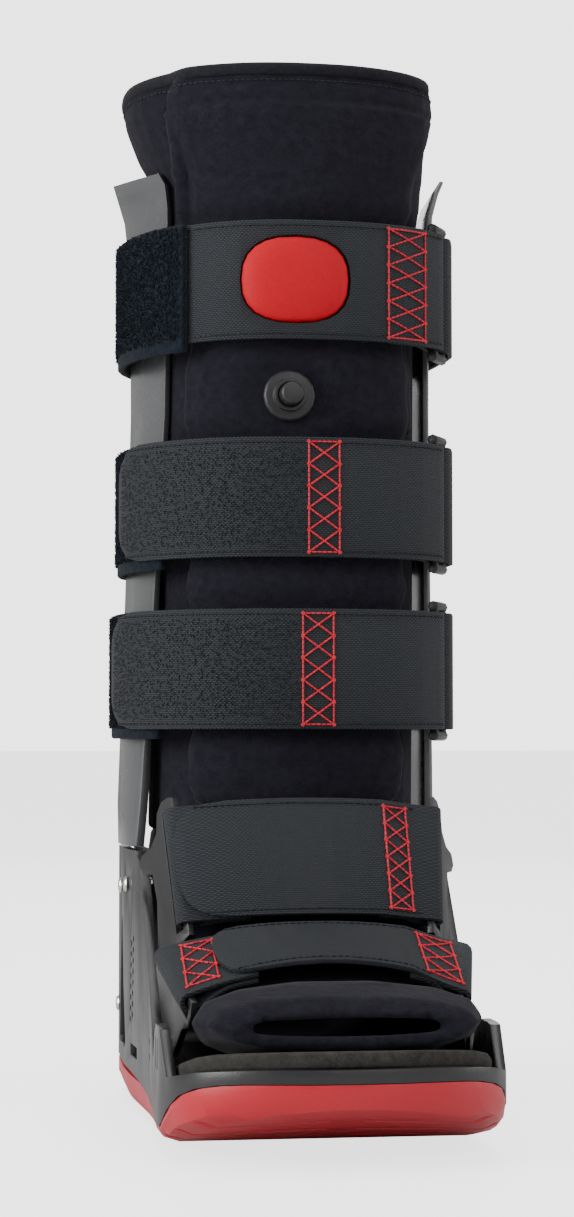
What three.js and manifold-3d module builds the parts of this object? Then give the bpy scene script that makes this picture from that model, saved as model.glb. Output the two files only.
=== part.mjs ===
// Medical walking boot: rocker sole, plastic shell with two struts, padded liner and five straps.
// Millimetres, +Z up, toes towards -Y, +X to the viewer's right. The origin is on the floor,
// on the flat of the sole, below the middle of the leg.
import * as THREE from 'three';
import { mergeVertices } from 'three/addons/utils/BufferGeometryUtils.js';
import Module from 'manifold-3d';

const wasm = await Module();
wasm.setup();

// Driving dimensions
const GAP = 0.3; // clearance between pieces that rest on each other

const TOE_REACH = 207; // origin to the tip of the toe
const HEEL_REACH = 90; // origin to the back of the heel
const FOREFOOT_HALF_WIDTH = 66;
const MIDFOOT_HALF_WIDTH = 64.5;
const ANKLE_HALF_WIDTH = 67.5;
const TOE_ROUNDING = 57; // length of the rounded toe
const HEEL_ROUNDING = 52; // length of the rounded heel
const ROUNDING_POWER = 2.4; // 2 is an ellipse, more is squarer

const SHELL_WALL = 4;
const FRAME_HEIGHT = 110; // top of the side frames
const LUG_HEIGHT = 48; // top of the forefoot lugs
const HEEL_CUP_HEIGHT = 62;
const TOE_RIM_TOP = 38;
const SHELL_FLOOR = 15; // underside of the shell's floor behind the forefoot
const SOLE_TOE_SPRING = 24; // how far the rocker lifts the toe
const SOLE_HEEL_SPRING = 10;
const SOLE_EDGE_ROUND = 9;
const ROCKER_START = 105; // the sole leaves the floor this far in front of the origin
const HEEL_ROCKER_START = 42;
const TREAD_DEPTH = 2.5;
const TREAD_GROOVE = 3;
const TREAD_PITCH = 15;
const INSOLE_THICKNESS = 6.3;

const STRUT_TOP = 404;
const STRUT_THICKNESS = 4.5;
const STRUT_HALF_WIDTH = 21;
const STRUT_TONGUE = 30; // length of the strut inside the side frame
const RIVET_RADIUS = 3.6;
const RIVET_SHANK = 2.2;
const RIVET_HEAD = 1.4;

const LINER_TOP = 442;
const LINER_SPLIT = 118; // height where the leg tube is sewn to the foot part
const LINER_WALL = 7;
const PANEL_THICKNESS = 7;
const PANEL_BOTTOM = 131;
const BINDING_HEIGHT = 5;
const BINDING_THICKNESS = 1.6;

const STRAP_WIDTH = 50;
const WEBBING = 2;
const PILE_THICKNESS = 3.4; // the fuzzy loop band is thicker than webbing
const STRAP_LEVELS = [349, 258, 186.5]; // mid-heights of the three leg straps
const RING_BAR = 2; // radius of a strap ring's bar
const RING_PITCH = 9.2; // distance between a ring's two bars
const PUMP_WIDTH = 45;
const PUMP_HEIGHT = 36;
const PUMP_BULGE = 3;

const VALVE_RADIUS = 11;
const VALVE_BOSS_RADIUS = 7;
const BUTTON_RADIUS = 4.85;
const BUTTON_TRAVEL = 2;

// Helpers: tables, lofts and booleans

// Smooth value of a column at a place, from rows sorted by their "at" column.
function lookUp(rows, column, at) {
  const last = rows.length - 1;
  if (at <= rows[0].at) return rows[0][column];
  if (at >= rows[last].at) return rows[last][column];
  let i = 0;
  while (at > rows[i + 1].at) i += 1;
  const slope = (j) => {
    const before = rows[Math.max(j - 1, 0)];
    const after = rows[Math.min(j + 1, last)];
    const rise = rows[Math.min(j + 1, last)][column] - rows[j][column];
    const earlier = rows[j][column] - rows[Math.max(j - 1, 0)][column];
    return rise * earlier <= 0 ? 0 : (after[column] - before[column]) / (after.at - before.at);
  };
  const span = rows[i + 1].at - rows[i].at;
  const t = (at - rows[i].at) / span;
  const a = rows[i][column];
  const b = rows[i + 1][column];
  const bend = t * t * (3 - 2 * t);
  const leave = slope(i) * span * t * (1 - t) * (1 - t);
  const arrive = slope(i + 1) * span * t * t * (1 - t);
  return a + (b - a) * bend + leave - arrive;
}

function range(count, from, to) {
  return Array.from({ length: count }, (_, i) => from + ((to - from) * i) / (count - 1));
}

function solidFrom(positions, triangles) {
  const geometry = new THREE.BufferGeometry();
  geometry.setAttribute('position', new THREE.Float32BufferAttribute(positions, 3));
  geometry.setIndex(triangles);
  let volume = 0;
  const p = (i) => new THREE.Vector3().fromArray(positions, 3 * i);
  for (let i = 0; i < triangles.length; i += 3) {
    volume += p(triangles[i]).dot(p(triangles[i + 1]).cross(p(triangles[i + 2])));
  }
  if (volume < 0) {
    for (let i = 0; i < triangles.length; i += 3) {
      [triangles[i + 1], triangles[i + 2]] = [triangles[i + 2], triangles[i + 1]];
    }
    geometry.setIndex(triangles);
  }
  return geometry;
}

// Joins rings of as many points each. An open row of rings gets a fan over both ends.
function loft(rings, closed = false) {
  const size = rings[0].length;
  const positions = rings.flat().flatMap((q) => [q.x, q.y, q.z]);
  const triangles = [];
  const spans = closed ? rings.length : rings.length - 1;
  for (let r = 0; r < spans; r += 1) {
    const here = r * size;
    const next = ((r + 1) % rings.length) * size;
    for (let k = 0; k < size; k += 1) {
      const m = (k + 1) % size;
      triangles.push(here + k, next + k, next + m, here + k, next + m, here + m);
    }
  }
  if (!closed) {
    [0, rings.length - 1].forEach((r) => {
      const middle = new THREE.Vector3();
      rings[r].forEach((q) => middle.add(q));
      middle.divideScalar(size);
      positions.push(middle.x, middle.y, middle.z);
      const centre = positions.length / 3 - 1;
      for (let k = 0; k < size; k += 1) {
        const pair = [r * size + k, r * size + ((k + 1) % size)];
        if (r > 0) pair.reverse();
        triangles.push(centre, pair[0], pair[1]);
      }
    });
  }
  return solidFrom(positions, triangles);
}

const point = (x, y, z) => new THREE.Vector3(x, y, z);

function toSolid(geometry) {
  const bare = geometry.clone();
  bare.deleteAttribute('normal');
  bare.deleteAttribute('uv');
  const merged = mergeVertices(bare, 1e-4);
  const mesh = new wasm.Mesh({
    numProp: 3,
    vertProperties: new Float32Array(merged.attributes.position.array),
    triVerts: new Uint32Array(merged.index.array),
  });
  return new wasm.Manifold(mesh);
}

function toGeometry(solid) {
  const mesh = solid.getMesh();
  const geometry = new THREE.BufferGeometry();
  geometry.setAttribute('position', new THREE.BufferAttribute(mesh.vertProperties.slice(), 3));
  geometry.setIndex(new THREE.BufferAttribute(mesh.triVerts.slice(), 1));
  return geometry;
}

const join = (...pieces) => toGeometry(pieces.map(toSolid).reduce((a, b) => a.add(b)));
const cut = (piece, ...tools) =>
  toGeometry(tools.map(toSolid).reduce((a, b) => a.subtract(b), toSolid(piece)));

// An outline drawn in the Y-Z plane and pushed along X between two places.
function sidePrism(outline, fromX, toX) {
  const shape = new THREE.Shape(outline.map(([y, z]) => new THREE.Vector2(y, z)));
  const geometry = new THREE.ExtrudeGeometry(shape, { depth: toX - fromX, bevelEnabled: false });
  const turn = new THREE.Matrix4().makeBasis(point(0, 1, 0), point(0, 0, 1), point(1, 0, 0));
  return geometry.applyMatrix4(turn).translate(fromX, 0, 0);
}

function regularOutline(y, z, radiusY, radiusZ, sides) {
  return range(sides + 1, 0, 2 * Math.PI)
    .slice(0, sides)
    .map((a) => [y + radiusY * Math.cos(a), z + radiusZ * Math.sin(a)]);
}

function rod(radius, from, to, sides = 8) {
  const along = to.clone().sub(from);
  const geometry = new THREE.CylinderGeometry(radius, radius, along.length(), sides);
  const turn = new THREE.Quaternion().setFromUnitVectors(point(0, 1, 0), along.clone().normalize());
  geometry.applyQuaternion(turn);
  const middle = from.clone().add(to).multiplyScalar(0.5);
  return geometry.translate(middle.x, middle.y, middle.z);
}

// Shell and sole

// Half width of the boot's plan at a place along Y.
const SIDE_WIDTHS = [
  { at: -TOE_REACH + TOE_ROUNDING, half: FOREFOOT_HALF_WIDTH },
  { at: -TOE_REACH * 0.35, half: MIDFOOT_HALF_WIDTH },
  { at: 0, half: ANKLE_HALF_WIDTH },
  { at: HEEL_REACH - HEEL_ROUNDING, half: ANKLE_HALF_WIDTH * 0.985 },
];

function halfWidth(y) {
  const toeStart = -TOE_REACH + TOE_ROUNDING;
  const heelStart = HEEL_REACH - HEEL_ROUNDING;
  const cap = (t) => Math.max(0, 1 - t ** ROUNDING_POWER) ** (1 / ROUNDING_POWER);
  if (y < toeStart) return FOREFOOT_HALF_WIDTH * cap((toeStart - y) / TOE_ROUNDING);
  if (y > heelStart) return SIDE_WIDTHS[3].half * cap((y - heelStart) / HEEL_ROUNDING);
  return lookUp(SIDE_WIDTHS, 'half', y);
}

// Upper and lower edge of the shell's wall, from the toe's tip to the back of the heel.
// "at" is a share of the toe's reach in front of the origin and of the heel's behind it.
const EDGE_ROWS = [
  { at: -1, top: TOE_RIM_TOP, bottom: 33 },
  { at: -0.93, top: TOE_RIM_TOP - 1.5, bottom: 31.5 },
  { at: -0.86, top: TOE_RIM_TOP - 4, bottom: 27 },
  { at: -0.8, top: TOE_RIM_TOP - 7, bottom: 20 },
  { at: -0.77, top: LUG_HEIGHT - 10, bottom: 16 },
  { at: -0.745, top: LUG_HEIGHT - 2.5, bottom: 13 },
  { at: -0.7, top: LUG_HEIGHT, bottom: 10.5 },
  { at: -0.64, top: LUG_HEIGHT, bottom: 10 },
  { at: -0.6, top: LUG_HEIGHT - 5, bottom: 10.5 },
  { at: -0.575, top: LUG_HEIGHT - 14, bottom: 11 },
  { at: -0.56, top: LUG_HEIGHT - 15, bottom: 11.5 },
  { at: -0.55, top: LUG_HEIGHT - 7, bottom: 12 },
  { at: -0.53, top: LUG_HEIGHT - 3, bottom: 12.5 },
  { at: -0.5, top: FRAME_HEIGHT * 0.45, bottom: 13 },
  { at: -0.4, top: FRAME_HEIGHT * 0.63, bottom: 14 },
  { at: -0.27, top: FRAME_HEIGHT * 0.9, bottom: 15 },
  { at: -0.24, top: FRAME_HEIGHT * 0.97, bottom: 15.5 },
  { at: -0.19, top: FRAME_HEIGHT, bottom: 16 },
  { at: 0, top: FRAME_HEIGHT, bottom: 17 },
  { at: 0.4, top: FRAME_HEIGHT, bottom: 17 },
  { at: 0.47, top: FRAME_HEIGHT * 0.96, bottom: 17 },
  { at: 0.52, top: FRAME_HEIGHT * 0.84, bottom: 17 },
  { at: 0.6, top: HEEL_CUP_HEIGHT * 1.1, bottom: 17.5 },
  { at: 0.7, top: HEEL_CUP_HEIGHT, bottom: 18 },
  { at: 1, top: HEEL_CUP_HEIGHT, bottom: 19 },
];

const reach = (y) => y / (y < 0 ? TOE_REACH : HEEL_REACH);
const fromReach = (share) => share * (share < 0 ? TOE_REACH : HEEL_REACH);

// Top of the shell's floor, on which the insole lies.
const FLOOR_ROWS = [
  { at: -1, top: TOE_RIM_TOP },
  { at: -0.93, top: TOE_RIM_TOP - 1.5 },
  { at: -0.86, top: TOE_RIM_TOP - 4 },
  { at: -0.79, top: TOE_RIM_TOP - 8 },
  { at: -0.68, top: TOE_RIM_TOP - 13 },
  { at: -0.5, top: SHELL_FLOOR + SHELL_WALL + 1.5 },
  { at: -0.3, top: SHELL_FLOOR + SHELL_WALL },
  { at: 0.5, top: SHELL_FLOOR + SHELL_WALL },
  { at: 1, top: SHELL_FLOOR + SHELL_WALL + 3 },
];
const floorTop = (y) => lookUp(FLOOR_ROWS, 'top', reach(y));

function soleBottom(y) {
  const toe = Math.max(0, -ROCKER_START - y) / (TOE_REACH - ROCKER_START);
  const heel = Math.max(0, y - HEEL_ROCKER_START) / (HEEL_REACH - HEEL_ROCKER_START);
  return SOLE_TOE_SPRING * toe ** 1.7 + SOLE_HEEL_SPRING * heel ** 1.8;
}

// The plan outline as stations round the boot, each with its outward direction.
function planStations() {
  const sideStops = EDGE_ROWS.map((row) => fromReach(row.at));
  const toeStart = -TOE_REACH + TOE_ROUNDING;
  const heelStart = HEEL_REACH - HEEL_ROUNDING;
  const capStops = (count) =>
    range(count, 0, Math.PI / 2).map((a) => Math.sin(a) ** (2 / ROUNDING_POWER));
  const stops = [
    ...capStops(9).map((t) => toeStart - t * TOE_ROUNDING).reverse(),
    ...sideStops.filter((y) => y > toeStart + 1 && y < heelStart - 1),
    ...capStops(7).map((t) => heelStart + t * HEEL_ROUNDING),
  ];
  const right = stops.map((y) => ({ x: halfWidth(y), y }));
  const left = stops.slice(1, -1).reverse().map((y) => ({ x: -halfWidth(y), y }));
  const stations = [...right, ...left];
  return stations.map((s, i) => {
    const before = stations[(i + stations.length - 1) % stations.length];
    const after = stations[(i + 1) % stations.length];
    const along = new THREE.Vector2(after.x - before.x, after.y - before.y).normalize();
    return { ...s, outX: along.y, outY: -along.x };
  });
}

// The shell's wall, or the same wall grown on all sides to cut its seat in the sole.
function shellWall(grow = 0) {
  const rings = planStations().map(({ x, y, outX, outY }) => {
    const top = lookUp(EDGE_ROWS, 'top', reach(y)) + grow;
    const bottom = lookUp(EDGE_ROWS, 'bottom', reach(y)) - grow;
    const outer = grow;
    const inner = -SHELL_WALL - grow;
    const place = (offset, z) => point(x + outX * offset, y + outY * offset, z);
    return [place(outer, bottom), place(outer, top), place(inner, top), place(inner, bottom)];
  });
  return loft(rings, true);
}

// Places along Y, closer together at both ends, that stop a margin short of toe and heel.
function lengthStops(count, margin) {
  const middle = (HEEL_REACH - TOE_REACH) / 2;
  const reachEachWay = (HEEL_REACH + TOE_REACH) / 2;
  const inner = range(count, -1, 1)
    .map((t) => middle + Math.sin((t * Math.PI) / 2) * reachEachWay)
    .filter((y) => y > margin + 1 - TOE_REACH && y < HEEL_REACH - margin - 1);
  return [margin - TOE_REACH, ...inner, HEEL_REACH - margin];
}

// A flat plate that fills the plan, between two heights that depend on Y.
function plate(inset, low, high) {
  const margin = inset + 0.5;
  const rings = lengthStops(29, margin).map((y) => {
    const full = y < 0 ? TOE_REACH : HEEL_REACH;
    const outerHalf = halfWidth(y * full / (full - inset));
    const half = Math.max(outerHalf * (1 - inset / FOREFOOT_HALF_WIDTH), 4);
    return [
      point(-half, y, low(y)),
      point(half, y, low(y)),
      point(half, y, high(y)),
      point(-half, y, high(y)),
    ];
  });
  return loft(rings);
}

function shellFloor(grow = 0) {
  return plate(SHELL_WALL * 0.5 - grow, (y) => floorTop(y) - SHELL_WALL - grow, floorTop);
}

// Openings through the side frames: a tall slot, small holes in staggered columns,
// a low window, a pair of holes and the two slits of the forefoot lug.
function sideOpenings() {
  const inner = MIDFOOT_HALF_WIDTH - SHELL_WALL * 3;
  const outer = ANKLE_HALF_WIDTH + SHELL_WALL;
  const slotFoot = FRAME_HEIGHT * 0.24;
  const slot = [[26, slotFoot], [23, slotFoot - 2.5], [-4, slotFoot - 2.5], [-7, slotFoot],
    [7, FRAME_HEIGHT * 0.7], [10, FRAME_HEIGHT * 0.74], [14, FRAME_HEIGHT * 0.7]];
  const outlines = [slot];
  const rows = 8;
  for (let column = 0; column < 2; column += 1) {
    for (let row = 0; row < rows; row += 1) {
      const z = FRAME_HEIGHT * 0.35 + row * 4.6 + column * 2.3;
      const y = -24 - column * 7 - row * 0.5;
      outlines.push(regularOutline(y, z, 1.9, 1.5, 6));
    }
  }
  const window = [[-25, slotFoot - 3], [-45, slotFoot - 3], [-45, slotFoot + 2], [-25, slotFoot + 2]];
  outlines.push(window);
  [31, 37].forEach((z) => outlines.push(regularOutline(-TOE_REACH * 0.47, z, 1.6, 1.6, 8)));
  [-0.645, -0.68].forEach((share) => {
    const y = share * TOE_REACH;
    outlines.push([[y, LUG_HEIGHT - 17], [y + 2.2, LUG_HEIGHT - 17], [y + 2.2, LUG_HEIGHT - 5],
      [y, LUG_HEIGHT - 5]]);
  });
  rivetPlaces().forEach(({ y, z }) =>
    outlines.push(regularOutline(y, z, RIVET_SHANK + GAP, RIVET_SHANK + GAP, 10)));
  return [-1, 1].flatMap((side) =>
    outlines.map((outline) =>
      side < 0 ? sidePrism(outline, -outer, -inner) : sidePrism(outline, inner, outer)));
}

function rivetPlaces() {
  return [
    { name: 'front', y: -14, z: FRAME_HEIGHT - 15 },
    { name: 'rear', y: 14, z: FRAME_HEIGHT - 17 },
    { name: 'low', y: 33, z: FRAME_HEIGHT * 0.36 },
  ];
}

function baseShell() {
  return cut(join(shellWall(), shellFloor()), ...sideOpenings());
}

// The sole: a blank between the rocker's underside and the floor, cut by the shell's seat.
function outsole() {
  const stops = lengthStops(31, 0.6);
  const rings = stops.map((y) => {
    const half = Math.max(halfWidth(y) - 0.4, 6);
    const low = soleBottom(y);
    const edge = Math.min(SOLE_EDGE_ROUND, half * 0.5);
    const side = lookUp(EDGE_ROWS, 'bottom', reach(y)) - GAP;
    const bottomEdge = Math.min(low + edge, side - 1.5);
    const top = Math.max(floorTop(y) - SHELL_WALL - GAP, bottomEdge + 2);
    const upper = Math.max(Math.min(side, top), bottomEdge + 1);
    return [
      point(-half + edge, y, low),
      point(half - edge, y, low),
      point(half - edge * 0.3, y, low + (bottomEdge - low) * 0.35),
      point(half, y, bottomEdge),
      point(half, y, upper),
      point(half - SHELL_WALL, y, top),
      point(-half + SHELL_WALL, y, top),
      point(-half, y, upper),
      point(-half, y, bottomEdge),
      point(-half + edge * 0.3, y, low + (bottomEdge - low) * 0.35),
    ];
  });
  const seat = [shellWall(GAP), shellFloor(GAP)];
  return cut(loft(rings), ...seat, ...treadGrooves());
}

// Chevron grooves across the underside. The strip round the origin stays whole.
function treadGrooves() {
  const grooves = [];
  const plain = TREAD_PITCH * 0.8;
  const wide = ANKLE_HALF_WIDTH + SHELL_WALL;
  const lean = TREAD_PITCH * 0.7;
  for (let y = -TOE_REACH * 0.86; y < HEEL_REACH * 0.8; y += TREAD_PITCH) {
    if (Math.abs(y + lean / 2) < plain) continue;
    const floor = (x) => soleBottom(y + x);
    [-1, 1].forEach((side) => {
      const ends = [
        { x: side * 6, y: y - lean, z: floor(-lean) },
        { x: side * wide, y, z: floor(0) },
      ];
      const rings = ends.map((end) => [
        point(end.x, end.y - TREAD_GROOVE / 2, end.z - 6),
        point(end.x, end.y + TREAD_GROOVE / 2, end.z - 6),
        point(end.x, end.y + TREAD_GROOVE / 2, end.z + TREAD_DEPTH),
        point(end.x, end.y - TREAD_GROOVE / 2, end.z + TREAD_DEPTH),
      ]);
      grooves.push(loft(rings));
    });
  }
  return grooves;
}

function insole() {
  const rest = (y) => floorTop(y) + GAP;
  return plate(SHELL_WALL + GAP * 3, rest, (y) => rest(y) + INSOLE_THICKNESS);
}

// Struts and rivets

// Outer face of each strut at its front and rear edge. "at" is a share of the strut's top;
// the other columns are shares of the ankle's half width.
const STRUT_ROWS = {
  left: [
    { at: 0.276, front: 0.975, rear: 1.015, depth: 1.5 },
    { at: 0.32, front: 0.95, rear: 1.02, depth: 1.5 },
    { at: 0.54, front: 0.86, rear: 0.975, depth: 1.15 },
    { at: 0.74, front: 0.79, rear: 0.94, depth: 1 },
    { at: 0.9, front: 0.775, rear: 0.945, depth: 0.95 },
    { at: 0.96, front: 0.775, rear: 0.985, depth: 0.95 },
    { at: 0.985, front: 0.79, rear: 1.03, depth: 0.9 },
    { at: 1, front: 0.82, rear: 1.065, depth: 0.6 },
  ],
  right: [
    { at: 0.276, front: 0.985, rear: 1.01, depth: 1.3 },
    { at: 0.32, front: 0.98, rear: 1.01, depth: 1.2 },
    { at: 0.54, front: 0.965, rear: 1, depth: 1 },
    { at: 0.74, front: 0.96, rear: 0.995, depth: 1 },
    { at: 0.9, front: 0.965, rear: 1, depth: 1 },
    { at: 0.96, front: 0.99, rear: 1.03, depth: 0.95 },
    { at: 0.985, front: 1.03, rear: 1.07, depth: 0.9 },
    { at: 1, front: 1.075, rear: 1.11, depth: 0.6 },
  ],
};

function strut(side) {
  const sign = side === 'left' ? -1 : 1;
  const tongueFace = ANKLE_HALF_WIDTH - SHELL_WALL - GAP * 4;
  const section = (z, front, rear, thickness, narrow = 1) => {
    const half = STRUT_HALF_WIDTH * narrow;
    const lean = new THREE.Vector2(rear - front, 2 * half).normalize();
    const inX = -lean.y * thickness;
    const inY = lean.x * thickness;
    const crown = thickness * 0.2;
    const middle = (front + rear) / 2;
    const corners = [
      [front + inX * 0.3, -half],
      [front, -half * 0.86],
      [middle + crown, 0],
      [rear, half * 0.86],
      [rear + inX * 0.3, half],
      [rear + inX * 0.8, half + inY],
      [middle + inX + crown, inY],
      [front + inX * 0.8, -half + inY],
    ];
    return corners.map(([x, y]) => point(sign * x, y, z));
  };
  const flush = STRUT_THICKNESS;
  const rings = [
    section(FRAME_HEIGHT - STRUT_TONGUE - 2, tongueFace, tongueFace, flush * 0.8, 0.7),
    section(FRAME_HEIGHT - STRUT_TONGUE + 2, tongueFace - 0.7, tongueFace - 0.7, flush * 0.9),
    section(FRAME_HEIGHT + GAP * 2, tongueFace - 0.7, tongueFace - 0.7, flush * 0.9),
  ];
  STRUT_ROWS[side].forEach((row) => {
    const narrow = row.at > 0.99 ? 0.8 : 1;
    rings.push(section(row.at * STRUT_TOP, row.front * ANKLE_HALF_WIDTH,
      row.rear * ANKLE_HALF_WIDTH, row.depth * STRUT_THICKNESS, narrow));
  });
  const holes = rivetPlaces().map(({ y, z }) => {
    const outline = regularOutline(y, z, RIVET_SHANK + GAP, RIVET_SHANK + GAP, 10);
    const near = ANKLE_HALF_WIDTH * 0.8;
    const far = ANKLE_HALF_WIDTH * 1.1;
    return side === 'left' ? sidePrism(outline, -far, -near) : sidePrism(outline, near, far);
  });
  return cut(loft(rings), ...holes);
}

// A rivet with a round head outside and a flat one inside what it joins.
function rivet(side, { name, y, z }) {
  const sign = side === 'left' ? -1 : 1;
  const face = halfWidth(y) + GAP;
  const grip = name === 'low' ? SHELL_WALL : SHELL_WALL + STRUT_THICKNESS + 0.8;
  const inside = face - GAP - grip - GAP * 2;
  const profile = [
    [0, inside - RIVET_HEAD], [RIVET_RADIUS * 0.8, inside - RIVET_HEAD],
    [RIVET_RADIUS * 0.8, inside], [RIVET_SHANK, inside], [RIVET_SHANK, face],
    [RIVET_RADIUS, face], [RIVET_RADIUS * 0.75, face + RIVET_HEAD * 0.8], [0, face + RIVET_HEAD],
  ].map(([r, along]) => new THREE.Vector2(r, along));
  const geometry = new THREE.LatheGeometry(profile, 8);
  geometry.rotateZ(-sign * Math.PI / 2);
  return mergedCopy(geometry.translate(0, y, z));
}

function mergedCopy(geometry) {
  return toGeometry(toSolid(geometry));
}

// Liner: a padded leg tube, its front panel, and the foot part

// Leg tube seen from above: reach to each side at a height. "at" is a share of the liner's top.
const LEG_ROWS = [
  { at: 0.267, left: 56, right: 57, front: 57, back: 60 },
  { at: 0.45, left: 54.5, right: 58, front: 56, back: 60 },
  { at: 0.68, left: 51.5, right: 58, front: 56, back: 60 },
  { at: 0.85, left: 50, right: 58.5, front: 57, back: 61 },
  { at: 0.9, left: 50.5, right: 59, front: 57.5, back: 61 },
  { at: 0.935, left: 60, right: 60.5, front: 58, back: 62 },
  { at: 0.97, left: 66.5, right: 62, front: 58, back: 63 },
  { at: 1, left: 68, right: 63, front: 58, back: 64 },
];
const LEFT_POWER = 2.05;
const RIGHT_POWER = 2.7;

// Distance from the axis in a direction: 0 degrees is the front, positive turns to the right.
function ovalReach(sizes, degrees) {
  const a = (degrees * Math.PI) / 180;
  const across = Math.sin(a);
  const along = Math.cos(a);
  const power = across < 0 ? LEFT_POWER + (along < 0 ? 0.4 : 0) : RIGHT_POWER;
  const wide = Math.abs(across) / (across < 0 ? sizes.left : sizes.right);
  const deep = Math.abs(along) / (along > 0 ? sizes.front : sizes.back);
  return (wide ** power + deep ** power) ** (-1 / power);
}

function ovalPoint(sizes, degrees, offset, z) {
  const a = (degrees * Math.PI) / 180;
  const r = ovalReach(sizes, degrees) + offset;
  return point(r * Math.sin(a), -r * Math.cos(a), z);
}

function legSizes(z) {
  const at = z / LINER_TOP;
  const sizes = {};
  ['left', 'right', 'front', 'back'].forEach((key) => {
    sizes[key] = lookUp(LEG_ROWS, key, at);
  });
  return sizes;
}

const LEG_HEIGHTS = [0.267, 0.45, 0.68, 0.85, 0.9, 0.92, 0.94, 0.97, 0.993];

function legLiner() {
  const turns = 36;
  const heights = LEG_HEIGHTS.map((share) => share * LINER_TOP);
  heights[0] = LINER_SPLIT + GAP;
  const rings = range(turns + 1, -180, 180).slice(0, turns).map((angle) => {
    const outer = heights.map((z) => ovalPoint(legSizes(z), angle, 0, z));
    const inner = heights.map((z) => ovalPoint(legSizes(z), angle, -LINER_WALL, z));
    return [...outer, ...inner.reverse()];
  });
  return loft(rings, true);
}

// Where the front panel starts and ends round the leg, in degrees from the front.
const PANEL_ROWS = [
  { at: 0.296, left: -44, right: 44 },
  { at: 0.85, left: -44, right: 45 },
  { at: 0.9, left: -45, right: 47 },
  { at: 0.94, left: -49, right: 58 },
  { at: 0.97, left: -52, right: 66 },
  { at: 1, left: -53, right: 69 },
];

const PANEL_GAP = GAP * 2.5; // between the leg tube's flats and the panel's

function panelSection(share, rounding) {
  const low = PANEL_BOTTOM + rounding * 14;
  const high = LINER_TOP - rounding * 16;
  const between = LEG_HEIGHTS.map((at) => at * LINER_TOP).slice(1, -1);
  const levels = [low, ...between, high];
  const full = 1 - rounding * 0.55;
  const place = (z, offset) => {
    const at = z / LINER_TOP;
    const left = lookUp(PANEL_ROWS, 'left', at);
    const angle = left + (lookUp(PANEL_ROWS, 'right', at) - left) * share;
    return ovalPoint(legSizes(z), angle, offset, z);
  };
  const rim = 0.6;
  const outer = levels.map((z) => {
    const soft = z === low || z === high ? rim : 1;
    return place(z, PANEL_GAP + PANEL_THICKNESS * full * soft);
  });
  const inner = levels.map((z) => place(z, PANEL_GAP));
  return [...outer, ...inner.reverse()];
}

function frontPanel() {
  const stops = [0, 0.02, ...range(13, 0.06, 0.94), 0.975, 0.99, 1];
  const rings = stops.map((share) => {
    const fromRight = Math.max(0, share - 0.88) / 0.12;
    const fromLeft = Math.max(0, 0.06 - share) / 0.06;
    const rounding = Math.max(1 - Math.sqrt(Math.max(0, 1 - fromRight * fromRight)), fromLeft * 0.6);
    return panelSection(share, rounding);
  });
  return loft(rings);
}

// Foot part of the liner. "at" is a share of the toe's reach in front and the heel's behind.
const FOOT_ROWS = [
  { at: -0.915, top: 57, half: 44 },
  { at: -0.89, top: 62, half: 50 },
  { at: -0.8, top: 66, half: 55.5 },
  { at: -0.73, top: 65, half: 54.5 },
  { at: -0.66, top: 62.5, half: 50 },
  { at: -0.59, top: 68, half: 50.5 },
  { at: -0.48, top: 77, half: 50 },
  { at: -0.4, top: 108, half: 51 },
  { at: -0.33, top: 140, half: 53 },
  { at: -0.1, top: 165, half: 55 },
  { at: 0.4, top: 165, half: 55 },
  { at: 0.62, top: 150, half: 52 },
  { at: 0.76, top: 120, half: 40 },
  { at: 0.83, top: 90, half: 26 },
];

function footLoft(inset, first) {
  const turns = 14;
  const power = 2.3;
  const rows = FOOT_ROWS.filter((row) => row.at >= first);
  const rings = rows.map((row, i) => {
    const ahead = inset > 0 && i === 0 ? 12 : 0;
    const behind = inset > 0 && i === rows.length - 1 ? inset : 0;
    const y = fromReach(row.at) - ahead - behind;
    const low = floorTop(y) + INSOLE_THICKNESS + GAP * 3 + inset * 0.7;
    const high = Math.max(row.top - inset, low + 6);
    const half = row.half - inset;
    return range(turns + 1, 0, 2 * Math.PI).slice(0, turns).map((a) => {
      const bend = (v) => Math.sign(v) * Math.abs(v) ** (2 / power);
      const middle = (low + high) / 2;
      return point(half * bend(Math.cos(a)), y, middle + ((high - low) / 2) * bend(Math.sin(a)));
    });
  });
  return loft(rings);
}

function footLiner() {
  const above = new THREE.BoxGeometry(200, 400, 200).translate(0, 0, LINER_SPLIT + 100);
  return cut(footLoft(0, -1), footLoft(LINER_WALL, -0.93), above);
}

function collarBinding() {
  const turns = 36;
  const sizes = legSizes(LINER_TOP);
  const high = LINER_TOP + GAP;
  const rings = range(turns + 1, -180, 180).slice(0, turns).map((angle) => {
    const over = angle > -66 && angle < 82 ? PANEL_THICKNESS + GAP : 0;
    const out = over + PANEL_GAP;
    const place = (offset, z) => ovalPoint(sizes, angle, offset, z);
    return [
      place(out, high - BINDING_HEIGHT),
      place(out + BINDING_THICKNESS, high - BINDING_HEIGHT),
      place(out + BINDING_THICKNESS, high + BINDING_THICKNESS * 0.6),
      place(out + BINDING_THICKNESS * 0.3, high + BINDING_THICKNESS),
      place(out - PANEL_THICKNESS * 0.7, high + BINDING_THICKNESS),
      place(out - PANEL_THICKNESS * 0.7, high),
      place(out, high),
    ];
  });
  return loft(rings, true);
}

// Straps

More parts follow.
